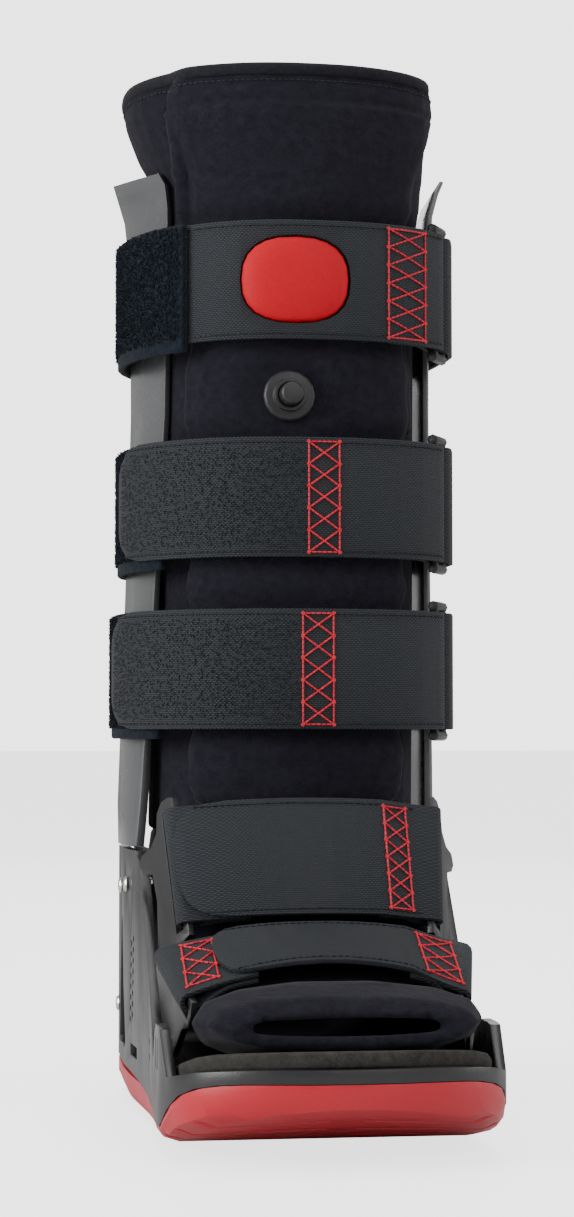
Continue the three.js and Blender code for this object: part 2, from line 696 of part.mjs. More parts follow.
// A flat band along a path. "across" is the direction of its width at each point.
function band(path, across, halves, thickness) {
  const rings = path.map((here, i) => {
    const ahead = path[Math.min(i + 1, path.length - 1)];
    const behind = path[Math.max(i - 1, 0)];
    const along = ahead.clone().sub(behind).normalize();
    const wide = Array.isArray(across) ? across[i] : across;
    const out = along.clone().cross(wide).normalize();
    const half = Array.isArray(halves) ? halves[i] : halves;
    const corner = (w, o) =>
      here.clone().addScaledVector(wide, w * half).addScaledVector(out, (o * thickness) / 2);
    return [corner(-1, -1), corner(1, -1), corner(1, 1), corner(-1, 1)];
  });
  return loft(rings);
}

// Half widths along a band whose first end is cut round.
function roundedEnd(path, half, roundLength) {
  let gone = 0;
  return path.map((here, i) => {
    if (i > 0) gone += here.distanceTo(path[i - 1]);
    const t = Math.min(gone / roundLength, 1);
    return half * (0.35 + 0.65 * Math.sqrt(1 - (1 - t) ** 2.2));
  });
}

// Reach of each leg strap round the boot, measured to its innermost face.
const BELTS = [
  { left: 61, right: 70.5, front: 67.5, back: 66 },
  { left: 66.5, right: 70.5, front: 67.5, back: 66 },
  { left: 69, right: 70.5, front: 67.5, back: 66 },
];
const UP = point(0, 0, 1);
const RING_ANGLE = 53; // place of a strap ring's front bar
const RING_STEP = 7.4; // from the front bar to the rear one, in degrees
const LAP = RING_BAR + GAP + WEBBING / 2; // webbing's middle round a bar
const RING_OFFSET = PILE_THICKNESS + GAP + WEBBING / 2 - LAP;

function beltPath(level, from, to, offset, step = 9) {
  const count = Math.max(2, Math.ceil(Math.abs(to - from) / step) + 1);
  const offsetAt = typeof offset === 'function' ? offset : () => offset;
  return range(count, from, to).map((angle) =>
    ovalPoint(BELTS[level], angle, offsetAt(angle), STRAP_LEVELS[level]));
}

// Half a turn of webbing round a ring's bar, from its outer side to its inner side.
function barTurn(level, angle, direction, turns = 6) {
  const centre = ovalPoint(BELTS[level], angle, RING_OFFSET, STRAP_LEVELS[level]);
  const outer = ovalPoint(BELTS[level], angle, RING_OFFSET + 1, STRAP_LEVELS[level]);
  const ahead = ovalPoint(BELTS[level], angle + direction, RING_OFFSET, STRAP_LEVELS[level]);
  const along = ahead.sub(centre).normalize();
  const out = outer.sub(centre);
  out.addScaledVector(along, -out.dot(along)).normalize();
  return range(turns + 1, 0, Math.PI).map((a) =>
    centre.clone().addScaledVector(out, LAP * Math.cos(a)).addScaledVector(along, LAP * Math.sin(a)));
}

const OUTER_LAYER = RING_OFFSET + LAP;
const INNER_LAYER = OUTER_LAYER - WEBBING - GAP * 2;
const STRAP_ENDS = [
  { tip: -64, foldBack: 22, band: -40 },
  { tip: -80, foldBack: 46, band: -52 },
  { tip: -82, foldBack: 46, band: -52 },
];

function frontStrap(level) {
  const { tip, foldBack } = STRAP_ENDS[level];
  const near = 5; // degrees before the bar where the two layers part
  const over = beltPath(level, tip, RING_ANGLE - near / 2, OUTER_LAYER);
  const extra = level > 0 ? [1, 3].map((d) => ovalPoint(BELTS[level], tip + d, OUTER_LAYER,
    STRAP_LEVELS[level])) : [];
  const under = (angle) => {
    const t = Math.min(Math.max((RING_ANGLE - angle) / (near * 2.4), 0), 1);
    const bend = t * t * (3 - 2 * t);
    return RING_OFFSET - LAP + (INNER_LAYER - RING_OFFSET + LAP) * bend;
  };
  const back = beltPath(level, RING_ANGLE - near / 2, RING_ANGLE - foldBack, under, 4);
  const path = [over[0], ...extra, ...over.slice(1), ...barTurn(level, RING_ANGLE, 1), ...back];
  const half = STRAP_WIDTH / 2;
  const halves = level > 0 ? roundedEnd(path, half, half * 0.9) : half;
  return band(path, UP, halves, WEBBING);
}

function backStrap(level) {
  const start = RING_ANGLE + RING_STEP;
  const near = 4;
  const under = beltPath(level, start + near * 3.4, start + near / 2, (angle) => {
    const t = (angle - start) / (near * 3.4);
    return RING_OFFSET - LAP + t * 1.6;
  }, 4);
  const settle = (angle) => {
    const t = Math.min(Math.max((angle - start - near) / 30, 0), 1);
    return OUTER_LAYER + (WEBBING / 2 + GAP - OUTER_LAYER) * t * t * (3 - 2 * t);
  };
  const over = beltPath(level, start + near / 2, 190, settle);
  const path = [...under, ...barTurn(level, start, -1).reverse(), ...over];
  return band(path, UP, STRAP_WIDTH / 2, WEBBING);
}

// The fuzzy band lies under the front strap, except on top, where it lies over it.
function loopBand(level) {
  const over = level === 0 ? OUTER_LAYER + WEBBING / 2 + GAP : 0;
  const rear = WEBBING + GAP * 2;
  const offset = (angle) => {
    const t = Math.min(Math.max((-angle - 95) / 35, 0), 1);
    return PILE_THICKNESS / 2 + over + (rear - over) * t * t * (3 - 2 * t);
  };
  const path = beltPath(level, STRAP_ENDS[level].band, -196, offset);
  path.forEach((p) => p.setZ(p.z - STRAP_WIDTH * 0.04));
  return band(path, UP, STRAP_WIDTH * 0.54, PILE_THICKNESS);
}

function strapRing(level) {
  const half = STRAP_WIDTH / 2 + GAP * 2;
  const bars = [RING_ANGLE, RING_ANGLE + RING_STEP].map((angle) =>
    ovalPoint(BELTS[level], angle, RING_OFFSET, STRAP_LEVELS[level]));
  const lift = (p, z) => point(p.x, p.y, p.z + z);
  const ends = [-1, 1].map((sign) => {
    const z = sign * (half + RING_BAR);
    const along = bars[1].clone().sub(bars[0]).normalize().multiplyScalar(RING_BAR);
    return rod(RING_BAR * 1.15, lift(bars[0].clone().sub(along), z), lift(bars[1].clone().add(along), z));
  });
  const rods = bars.map((p) => rod(RING_BAR, lift(p, -half - RING_BAR), lift(p, half + RING_BAR)));
  return join(...rods, ...ends);
}

// Pump cover and its oval window in the top strap

const PUMP_X = -2;
const PUMP_POWER = 2.5;

function pumpOutline(grow) {
  return range(25, 0, 2 * Math.PI).slice(0, 24).map((a) => {
    const bend = (v) => Math.sign(v) * Math.abs(v) ** (2 / PUMP_POWER);
    return {
      x: PUMP_X + (PUMP_WIDTH / 2 + grow) * bend(Math.cos(a)),
      z: STRAP_LEVELS[0] + (PUMP_HEIGHT / 2 + grow) * bend(Math.sin(a)),
    };
  });
}

function pumpCover() {
  const face = BELTS[0].front + OUTER_LAYER + WEBBING / 2;
  const rear = BELTS[0].front - 1.5;
  const rows = [
    { shrink: 1, y: rear, curve: 0 },
    { shrink: 0, y: rear, curve: 0 },
    { shrink: 0, y: face - 0.5, curve: 1 },
    { shrink: 1.5, y: face + PUMP_BULGE * 0.35, curve: 1 },
    { shrink: 6, y: face + PUMP_BULGE * 0.75, curve: 1 },
    { shrink: 12, y: face + PUMP_BULGE, curve: 1 },
  ];
  const rings = rows.map(({ shrink, y, curve }) => pumpOutline(-shrink).map(({ x, z }) => {
    const bend = curve * 1.6 * ((x - PUMP_X) / (PUMP_WIDTH / 2)) ** 2;
    return point(x, -(y - bend), z);
  }));
  return loft(rings);
}

function pumpWindow() {
  const outline = pumpOutline(0.6);
  const deep = [-BELTS[0].front + 4, -BELTS[0].front - 20];
  return loft(deep.map((y) => outline.map(({ x, z }) => point(x, y, z))));
}

// Air valve on the front panel, with its push button

const VALVE = { x: -4, z: 301 };
const VALVE_SEAT = 64.6; // front of the panel at the valve
const VALVE_FLANGE = 2.5;
const VALVE_BOSS = 5.2;

function lathe(profile, sides) {
  const geometry = new THREE.LatheGeometry(profile.map(([r, h]) => new THREE.Vector2(r, h)), sides);
  geometry.rotateX(Math.PI);
  return mergedCopy(geometry.translate(VALVE.x, -VALVE_SEAT, VALVE.z));
}

function valveBase() {
  const bore = BUTTON_RADIUS + GAP;
  const floor = VALVE_BOSS - BUTTON_TRAVEL - 2.4;
  return lathe([
    [0, 0], [VALVE_RADIUS, 0], [VALVE_RADIUS, VALVE_FLANGE * 0.6], [VALVE_RADIUS * 0.9, VALVE_FLANGE],
    [VALVE_BOSS_RADIUS, VALVE_FLANGE], [VALVE_BOSS_RADIUS, VALVE_BOSS], [bore, VALVE_BOSS],
    [bore, floor], [0, floor],
  ], 16);
}

function releaseButton() {
  const inner = VALVE_BOSS - 2.4 + GAP;
  const outer = VALVE_BOSS + 7;
  return lathe([
    [0, inner], [BUTTON_RADIUS, inner], [BUTTON_RADIUS, outer - 1], [BUTTON_RADIUS - 1, outer], [0, outer],
  ], 20);
}

// Instep and forefoot: plastic wings with a slot, and the straps between them

const WING_THICKNESS = 2.6;
const WING_BAR = 3; // width of the bar that a strap turns round
const WING_SLOT = 5;
const WING_LAP = WING_BAR / 2 + GAP * 3.6 + WEBBING / 2; // webbing's middle round a wing's bar

// Each strap crosses between two bars. "lie" is the direction of its width at the side and in
// the middle, "down" leads from the left bar to the wing's foot.
const FOOT_STRAPS = {
  instep: {
    centre: point(0, -87, 105.5),
    reach: 51.6,
    bulge: 6,
    width: STRAP_WIDTH,
    lieSide: point(-0.072, 0.435, 0.898),
    lieMiddle: point(0, 0.41, 0.91),
    down: point(-0.476, 0.776, -0.414),
    outline: [[30, -2], [31.5, 1], [31.5, 6], [28, 10], [20, 12], [15.5, 17], [15, 24], [11, 26.5],
      [7, 24], [4, 18], [-8, 17], [-20, 19], [-52, 24], [-62, 24], [-66, 20], [-66, 14], [-60, 10],
      [-40, 10], [-30, 9.5], [-31.5, 4], [-30, -2]],
    boss: { u: -58, v: 17, radius: 4.5 },
  },
  forefoot: {
    centre: point(0, -123, 64),
    reach: 56.2,
    bulge: 9,
    width: STRAP_WIDTH * 0.72,
    lieSide: point(-0.2, 0.88, 0.432),
    lieMiddle: point(0, 0.94, 0.34),
    down: point(-0.05, 0.15, -0.98),
    outline: [[21, -2], [22.5, 1], [22, 8], [16, 13], [3, 26], [0, 30], [-9, 30], [-12, 26],
      [-16, 13], [-22, 9], [-22.5, 3.5], [-21, -2]],
    boss: { u: -4, v: 25, radius: 3.5 },
  },
};

function footStrapFrame(kind) {
  const sizes = FOOT_STRAPS[kind];
  const out = sizes.lieMiddle.clone().cross(point(1, 0, 0)).normalize().negate();
  if (out.z < 0) out.negate();
  const arch = (x) => sizes.bulge * (1 - (x / sizes.reach) ** 2);
  const place = (x, offset) =>
    point(x, 0, 0).add(sizes.centre).addScaledVector(out, arch(x) + offset);
  const lie = (x) => {
    const side = sizes.lieSide.clone();
    if (x > 0) side.x *= -1;
    const share = Math.min(Math.abs(x) / sizes.reach, 1);
    return sizes.lieMiddle.clone().lerp(side, share ** 1.5).normalize();
  };
  return { ...sizes, out, place, lie };
}

// Half a turn of webbing round a wing's bar, from the outer side to the inner one.
function wingTurn({ place, reach, out }, sign) {
  const centre = place(sign * reach, 0);
  return range(7, 0, Math.PI).map((a) =>
    centre.clone()
      .addScaledVector(out, WING_LAP * Math.cos(a))
      .add(point(sign * WING_LAP * Math.sin(a), 0, 0)));
}

function layer(frame, fromX, toX, fromOffset, toOffset, count) {
  return range(count, 0, 1).map((t) => {
    const soon = Math.min(t * 1.8, 1);
    const bend = soon * soon * (3 - 2 * soon);
    return frame.place(fromX + (toX - fromX) * t, fromOffset + (toOffset - fromOffset) * bend);
  });
}

// The strap: a free round end over the left bar, a turn round the right bar, sewn back on itself.
function footStrap(kind, tip, foldBack) {
  const frame = footStrapFrame(kind);
  const clear = 3;
  const top = WING_LAP + WEBBING + GAP * 2;
  const over = [
    ...layer(frame, tip, tip + 7, top, top, 4),
    ...layer(frame, tip + 12, frame.reach - 22, top, top, 8),
    ...layer(frame, frame.reach - 12, frame.reach - clear, WING_LAP + 0.6, WING_LAP, 3),
  ];
  const back = layer(frame, frame.reach - clear, frame.reach - foldBack, -WING_LAP,
    top - WEBBING - GAP * 2.5, 7);
  const path = [...over, ...wingTurn(frame, 1), ...back];
  const half = frame.width / 2;
  return band(path, path.map((p) => frame.lie(p.x)), roundedEnd(path, half, half * 0.8), WEBBING);
}

// Short loop of webbing round the left bar, under the strap's free end.
function footLoop(kind, length) {
  const frame = footStrapFrame(kind);
  const clear = 3;
  const edge = -frame.reach;
  const upper = layer(frame, edge + length, edge + clear, WING_LAP, WING_LAP, 5);
  const lower = layer(frame, edge + clear, edge + length, -WING_LAP, WING_LAP - WEBBING - GAP * 2, 7);
  const path = [...upper, ...wingTurn(frame, -1), ...lower];
  return band(path, path.map((p) => frame.lie(p.x)), frame.width / 2, WEBBING);
}

function wing(kind, sign) {
  const frame = footStrapFrame(kind);
  const along = frame.lieSide.clone().normalize();
  const down = frame.down.clone().addScaledVector(along, -frame.down.dot(along)).normalize();
  const thick = along.clone().cross(down).normalize();
  if (thick.x > 0) thick.negate();
  const shape = new THREE.Shape(frame.outline.map(([u, v]) => new THREE.Vector2(u, v)));
  const half = frame.width / 2 + GAP * 5;
  const slotNear = WING_BAR / 2;
  const slotFar = slotNear + WING_SLOT;
  shape.holes.push(new THREE.Path([[-half, slotNear], [-half, slotFar], [half, slotFar],
    [half, slotNear]].map(([u, v]) => new THREE.Vector2(u, v))));
  const geometry = new THREE.ExtrudeGeometry(shape, { depth: WING_THICKNESS, bevelEnabled: false });
  geometry.translate(0, 0, -WING_THICKNESS / 2);
  const turn = new THREE.Matrix4().makeBasis(along, down, thick);
  if (turn.determinant() < 0) turn.makeBasis(along, down, thick.clone().negate());
  const centre = frame.place(-frame.reach, 0);
  geometry.applyMatrix4(turn).translate(centre.x, centre.y, centre.z);
  const { u, v, radius } = frame.boss;
  const foot = centre.clone().addScaledVector(along, u).addScaledVector(down, v);
  const wall = -(halfWidth(foot.y) - SHELL_WALL - GAP);
  const boss = rod(radius, foot, point(wall, foot.y, foot.z), 12);
  const left = join(mergedCopy(geometry), boss);
  return sign < 0 ? left : mirrored(left);
}

function mirrored(geometry) {
  const positions = Array.from(geometry.attributes.position.array, (v, i) => (i % 3 === 0 ? -v : v));
  return solidFrom(positions, Array.from(geometry.index.array));
}

// Assembly

const COLORS = {
  shell: { color: 0x55575a, roughness: 0.5 },
  strut: { color: 0x77797c, roughness: 0.45 },
  sole: { color: 0xd12a45, roughness: 0.55 },
  insole: { color: 0x4a4745, roughness: 0.9 },
  rivet: { color: 0xc8c4b8, roughness: 0.35, metalness: 0.9 },
  fleece: { color: 0x303038, roughness: 0.95 },
  binding: { color: 0x26262c, roughness: 0.9 },
  webbing: { color: 0x2d3239, roughness: 0.85 },
  pile: { color: 0x28323f, roughness: 1 },
  pump: { color: 0xd8083a, roughness: 0.7 },
  button: { color: 0x3a3a3c, roughness: 0.5 },
};

const boot = new THREE.Group();

function add(name, geometry, finish) {
  const mesh = new THREE.Mesh(geometry, new THREE.MeshStandardMaterial(COLORS[finish]));
  mesh.name = name;
  boot.add(mesh);
}

add('outsole', outsole(), 'sole');
add('base_shell', baseShell(), 'shell');
add('insole', insole(), 'insole');
['left', 'right'].forEach((side) => {
  add(`strut_${side}`, strut(side), 'strut');
  rivetPlaces().forEach((place) => add(`rivet_${side}_${place.name}`, rivet(side, place), 'rivet'));
});
add('leg_liner', legLiner(), 'fleece');
add('front_panel', frontPanel(), 'fleece');
add('foot_liner', footLiner(), 'fleece');
add('collar_binding', collarBinding(), 'binding');
['top', 'middle', 'lower'].forEach((name, level) => {
  const strap = frontStrap(level);
  add(`front_strap_${name}`, level === 0 ? cut(strap, pumpWindow()) : strap, 'webbing');
  add(`back_strap_${name}`, backStrap(level), 'webbing');
  add(`loop_band_${name}`, loopBand(level), 'pile');
  add(`strap_ring_${name}`, strapRing(level), 'shell');
});
add('pump_cover', pumpCover(), 'pump');
add('valve_base', valveBase(), 'button');
add('release_button', releaseButton(), 'button');
add('instep_strap', footStrap('instep', -54, 24), 'webbing');
add('instep_loop', footLoop('instep', 26), 'webbing');
add('forefoot_strap', footStrap('forefoot', -42, 22), 'webbing');
add('forefoot_loop', footLoop('forefoot', 28), 'webbing');
['left', 'right'].forEach((side) => {
  const sign = side === 'left' ? -1 : 1;
  add(`instep_wing_${side}`, wing('instep', sign), 'shell');
  add(`forefoot_wing_${side}`, wing('forefoot', sign), 'shell');
});

export default boot;
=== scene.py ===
"""Medical walking boot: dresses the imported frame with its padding, webbing, thread and finishes."""

import math

import bmesh
import bpy
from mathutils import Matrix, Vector, noise
from mathutils.bvhtree import BVHTree


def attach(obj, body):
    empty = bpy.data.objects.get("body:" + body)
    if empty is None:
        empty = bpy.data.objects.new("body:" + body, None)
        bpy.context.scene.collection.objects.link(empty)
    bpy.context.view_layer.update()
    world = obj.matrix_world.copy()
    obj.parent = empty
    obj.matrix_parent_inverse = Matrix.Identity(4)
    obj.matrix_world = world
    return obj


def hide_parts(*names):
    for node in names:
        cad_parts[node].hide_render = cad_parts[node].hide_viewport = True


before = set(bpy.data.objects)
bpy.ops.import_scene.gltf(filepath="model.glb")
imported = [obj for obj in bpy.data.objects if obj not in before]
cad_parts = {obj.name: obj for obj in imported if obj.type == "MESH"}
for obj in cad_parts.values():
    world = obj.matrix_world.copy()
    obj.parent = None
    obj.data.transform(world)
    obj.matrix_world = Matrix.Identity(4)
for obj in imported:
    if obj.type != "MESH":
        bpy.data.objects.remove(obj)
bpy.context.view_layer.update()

bl_info = {
    "name": "Walking boot",
    "version": (1, 0, 0),
    "blender": (4, 5, 0),
    "location": "3D View > Sidebar > Walking boot",
    "description": "Pads, straps, stitches and finishes for a medical walking boot",
    "category": "Object",
}

MM = 0.001
FULL_TURN = 6.2832
QUARTER_TURN = 1.5708
LEG_CENTRE = Vector((0, 0, 0))
FOOT_CENTRE = Vector((0, -0.08, 0))
TOE_PART = -0.15
UP = Vector((0, 0, 1))
FORWARD = Vector((0, -1, 0))
RIGHT = Vector((1, 0, 0))
STRAP_HEIGHTS = {"top": 349, "middle": 258, "lower": 186.5}
STRAP_TIPS = {"top": -64, "middle": -80, "lower": -82}
BOX_SPANS = {"top": (29, 43), "middle": (2.5, 12.5), "lower": (0.5, 10.5)}
VALVE = Vector((-0.004, -0.07, 0.301))
SIDES = ("left", "right")
RIVETS = ("front", "rear", "low")
EDGE_ROW = 22.8
FOREFOOT_EDGE_ROW = 15.8
BOX_HALF = 23
FOOT_BOX_HALF = 22
FOREFOOT_BOX_HALF = 14


# Shapes


def piece_from(mesh, name):
    """A new object that holds the mesh, in the scene."""
    piece = bpy.data.objects.new(name, mesh)
    bpy.context.scene.collection.objects.link(piece)
    return piece


def merged_copy(node, name):
    """A copy of a CAD node's mesh with its doubles merged and its flat faces joined up."""
    form = bmesh.new()
    form.from_mesh(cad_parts[node].data)
    bmesh.ops.remove_doubles(form, verts=form.verts, dist=2e-6)
    bmesh.ops.dissolve_limit(form, angle_limit=math.radians(0.6), verts=form.verts, edges=form.edges)
    mesh = bpy.data.meshes.new(name)
    form.to_mesh(mesh)
    form.free()
    return piece_from(mesh, name)


def settled(piece):
    """The piece with its modifiers turned into plain mesh."""
    graph = bpy.context.evaluated_depsgraph_get()
    mesh = bpy.data.meshes.new_from_object(piece.evaluated_get(graph))
    piece.modifiers.clear()
    piece.data = mesh
    return piece


def shade(piece, angle=38):
    """Smooth shading with the real corners kept."""
    for face in piece.data.polygons:
        face.use_smooth = True
    piece.data.set_sharp_from_angle(angle=math.radians(angle))


def moulded(node, name, edge, angle=34, segments=2):
    """A hard part with its moulded edge radius."""
    piece = merged_copy(node, name)
    bevel = piece.modifiers.new("edge radius", "BEVEL")
    bevel.width = edge * MM
    bevel.segments = segments
    bevel.limit_method = "ANGLE"
    bevel.angle_limit = math.radians(angle)
    bevel.harden_normals = False
    settled(piece)
    shade(piece)
    return piece


def stuffed(node, name, voxel, rounds, regain=0.35):
    """A padded part: an even mesh with soft edges, ready to be creased."""
    piece = merged_copy(node, name)
    remesh = piece.modifiers.new("even mesh", "REMESH")
    remesh.mode = "VOXEL"
    remesh.voxel_size = voxel * MM
    soften = piece.modifiers.new("soft edges", "SMOOTH")
    soften.factor = 0.5
    soften.iterations = rounds
    settled(piece)
    piece.data.update()
    normals = [v.normal.copy() for v in piece.data.vertices]
    for vertex, normal in zip(piece.data.vertices, normals):
        vertex.co += normal * (regain * MM)
    for face in piece.data.polygons:
        face.use_smooth = True
    return piece


def dress(piece, material, nodes, body="boot"):
    """Gives the piece its finish, ties it to the body and hides the CAD nodes it stands for."""
    piece.data.materials.clear()
    piece.data.materials.append(material)
    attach(piece, body)
    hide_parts(*nodes)
    return piece


# Finishes


def shader_group(name):
    """An empty shader group with the inputs and outputs that every finish here shares."""
    group = bpy.data.node_groups.new(name, "ShaderNodeTree")
    sockets = group.interface
    sockets.new_socket("Vector", in_out="INPUT", socket_type="NodeSocketVector")
    sockets.new_socket("Colour", in_out="INPUT", socket_type="NodeSocketColor")
    # second colour: real wear and scuffs on moulded parts, painted highlight and lit patches on the
    # webbing and cloth
    sockets.new_socket("Worn and lit colour", in_out="INPUT", socket_type="NodeSocketColor")
    sockets.new_socket("Scale", in_out="INPUT", socket_type="NodeSocketFloat")
    sockets.new_socket("Roughness", in_out="INPUT", socket_type="NodeSocketFloat")
    sockets.new_socket("Colour", in_out="OUTPUT", socket_type="NodeSocketColor")
    sockets.new_socket("Roughness", in_out="OUTPUT", socket_type="NodeSocketFloat")
    sockets.new_socket("Height", in_out="OUTPUT", socket_type="NodeSocketFloat")
    return group, group.nodes.new("NodeGroupInput"), group.nodes.new("NodeGroupOutput")


def math_node(group, operation, first, second=None, clamp=False):
    """One sum in a shader group; each term is a socket or a number."""
    node = group.nodes.new("ShaderNodeMath")
    node.operation = operation
    node.use_clamp = clamp
    for index, term in enumerate((first, second)):
        if term is None:
            continue
        if isinstance(term, (int, float)):
            node.inputs[index].default_value = term
        else:
            group.links.new(term, node.inputs[index])
    return node.outputs[0]


def noise_node(group, vector, scale, detail=3.0):
    """A noise pattern; scale is a socket or a number."""
    node = group.nodes.new("ShaderNodeTexNoise")
    node.inputs["Detail"].default_value = detail
    group.links.new(vector, node.inputs["Vector"])
    if isinstance(scale, (int, float)):
        node.inputs["Scale"].default_value = scale
    else:
        group.links.new(scale, node.inputs["Scale"])
    return node.outputs["Fac"]


def colour_blend(group, share, first, second):
    """Mixes two colours by a share."""
    node = group.nodes.new("ShaderNodeMix")
    node.data_type = "RGBA"
    group.links.new(share, node.inputs["Factor"])
    group.links.new(first, node.inputs[6])
    group.links.new(second, node.inputs[7])
    return node.outputs[2]


def spread(group, value, low, high):
    """Stretches the part of a pattern between low and high to 0 and 1."""
    node = group.nodes.new("ShaderNodeMapRange")
    node.inputs["From Min"].default_value = low
    node.inputs["From Max"].default_value = high
    group.links.new(value, node.inputs["Value"])
    return node.outputs["Result"]


def leave_group(group, leave, colour, roughness, height):
    """Joins a group's results to its outputs."""
    group.links.new(colour, leave.inputs["Colour"])
    group.links.new(roughness, leave.inputs["Roughness"])
    group.links.new(height, leave.inputs["Height"])
    return group


def grain_group():
    """Moulded plastic or rubber: fine grain, broad mottling and light scuffs."""
    group, enter, leave = shader_group("moulded grain")
    vector, scale = enter.outputs["Vector"], enter.outputs["Scale"]
    grain = noise_node(group, vector, scale, 2.0)
    broad = noise_node(group, vector, 28.0, 4.0)
    scuff = spread(group, noise_node(group, vector, 90.0, 6.0), 0.58, 0.8)
    share = math_node(group, "MULTIPLY", math_node(group, "MULTIPLY", scuff, broad), 0.7)
    tint = math_node(group, "ADD", share, math_node(group, "MULTIPLY", grain, 0.12), True)
    colour = colour_blend(group, tint, enter.outputs["Colour"], enter.outputs["Worn and lit colour"])
    spare = math_node(group, "MULTIPLY", math_node(group, "SUBTRACT", broad, 0.5), 0.35)
    rough = math_node(group, "ADD", enter.outputs["Roughness"], spare, True)
    return leave_group(group, leave, colour, rough, grain)


def weave_group():
    """Woven webbing: ribs across the strap, with a finer thread along it, painted lighter on the raised
    threads and darker in the grooves as painted highlight and shade.
    """
    group, enter, leave = shader_group("webbing weave")
    apart = group.nodes.new("ShaderNodeSeparateXYZ")
    group.links.new(enter.outputs["Vector"], apart.inputs[0])
    scale = enter.outputs["Scale"]
    along = math_node(group, "MULTIPLY", apart.outputs[0], scale)
    across = math_node(group, "MULTIPLY", apart.outputs[1], scale)
    wide = math_node(group, "SINE", math_node(group, "MULTIPLY", across, FULL_TURN))
    turn = math_node(group, "MULTIPLY", math_node(group, "SIGN", wide), QUARTER_TURN)
    phase = math_node(group, "MULTIPLY", along, FULL_TURN)
    fine = math_node(group, "SINE", math_node(group, "ADD", phase, turn))
    thread = math_node(group, "MULTIPLY", math_node(group, "ABSOLUTE", wide), 0.55)
    height = math_node(group, "ADD", thread, math_node(group, "MULTIPLY", fine, 0.3))
    fluff = noise_node(group, enter.outputs["Vector"], 900.0, 3.0)
    height = math_node(group, "ADD", height, math_node(group, "MULTIPLY", fluff, 0.35))
    # painted highlight and shade: the weave's height sets the colour, lighter on raised threads and darker
    # in the grooves
    tint = spread(group, height, 0.1, 1.25)
    colour = colour_blend(group, tint, enter.outputs["Colour"], enter.outputs["Worn and lit colour"])
    polish = math_node(group, "MULTIPLY", tint, 0.12)
    rough = math_node(group, "SUBTRACT", enter.outputs["Roughness"], polish, True)
    return leave_group(group, leave, colour, rough, height)


def fleece_group():
    """Brushed loop cloth: short fibres in clumps under broad soft painted shade."""
    group, enter, leave = shader_group("brushed fleece")
    vector, scale = enter.outputs["Vector"], enter.outputs["Scale"]
    fibres = noise_node(group, vector, scale, 5.0)
    clumps = noise_node(group, vector, math_node(group, "MULTIPLY", scale, 0.22), 3.0)
    broad = noise_node(group, vector, 16.0, 2.0)
    nap = math_node(group, "MULTIPLY", fibres, 0.6)
    height = math_node(group, "ADD", nap, math_node(group, "MULTIPLY", clumps, 0.6))
    # painted shade: broad noise darkens the cloth in soft patches, and the nap's height lightens its
    # raised fibres
    shade_over = math_node(group, "ADD", broad, 0.3)
    tint = math_node(group, "MULTIPLY", spread(group, height, 0.45, 0.85), shade_over, True)
    colour = colour_blend(group, tint, enter.outputs["Colour"], enter.outputs["Worn and lit colour"])
    fuzz = math_node(group, "MULTIPLY", fibres, 0.1)
    rough = math_node(group, "ADD", enter.outputs["Roughness"], fuzz, True)
    return leave_group(group, leave, colour, rough, height)


def finish(
    name, group, colour, worn_and_lit, scale, roughness, depth,
    sheen=0.0, coat=0.0, metallic=0.0, gloss=0.5, uv=False,
):
    """One material: a shared effect with its own colours and scale, over the surface shader."""
    material = bpy.data.materials.new(name)
    material.use_nodes = True
    nodes, links = material.node_tree.nodes, material.node_tree.links
    shader = nodes["Principled BSDF"]
    shader.inputs["Sheen Weight"].default_value = sheen
    shader.inputs["Sheen Roughness"].default_value = 0.45
    shader.inputs["Coat Weight"].default_value = coat
    shader.inputs["Coat Roughness"].default_value = 0.3
    shader.inputs["Metallic"].default_value = metallic
    shader.inputs["Specular IOR Level"].default_value = gloss
    where = nodes.new("ShaderNodeTexCoord")
    effect = nodes.new("ShaderNodeGroup")
    effect.node_tree = group
    effect.inputs["Colour"].default_value = (*colour, 1)
    # second colour: wear on moulded parts, painted highlight on cloth and webbing
    effect.inputs["Worn and lit colour"].default_value = (*worn_and_lit, 1)
    effect.inputs["Scale"].default_value = scale
    effect.inputs["Roughness"].default_value = roughness
    links.new(where.outputs["UV" if uv else "Object"], effect.inputs["Vector"])
    links.new(effect.outputs["Colour"], shader.inputs["Base Color"])
    links.new(effect.outputs["Roughness"], shader.inputs["Roughness"])
    bump = nodes.new("ShaderNodeBump")
    bump.inputs["Distance"].default_value = depth * MM
    bump.inputs["Strength"].default_value = 0.7
    links.new(effect.outputs["Height"], bump.inputs["Height"])
    links.new(bump.outputs["Normal"], shader.inputs["Normal"])
    return material


FINISHES = {}


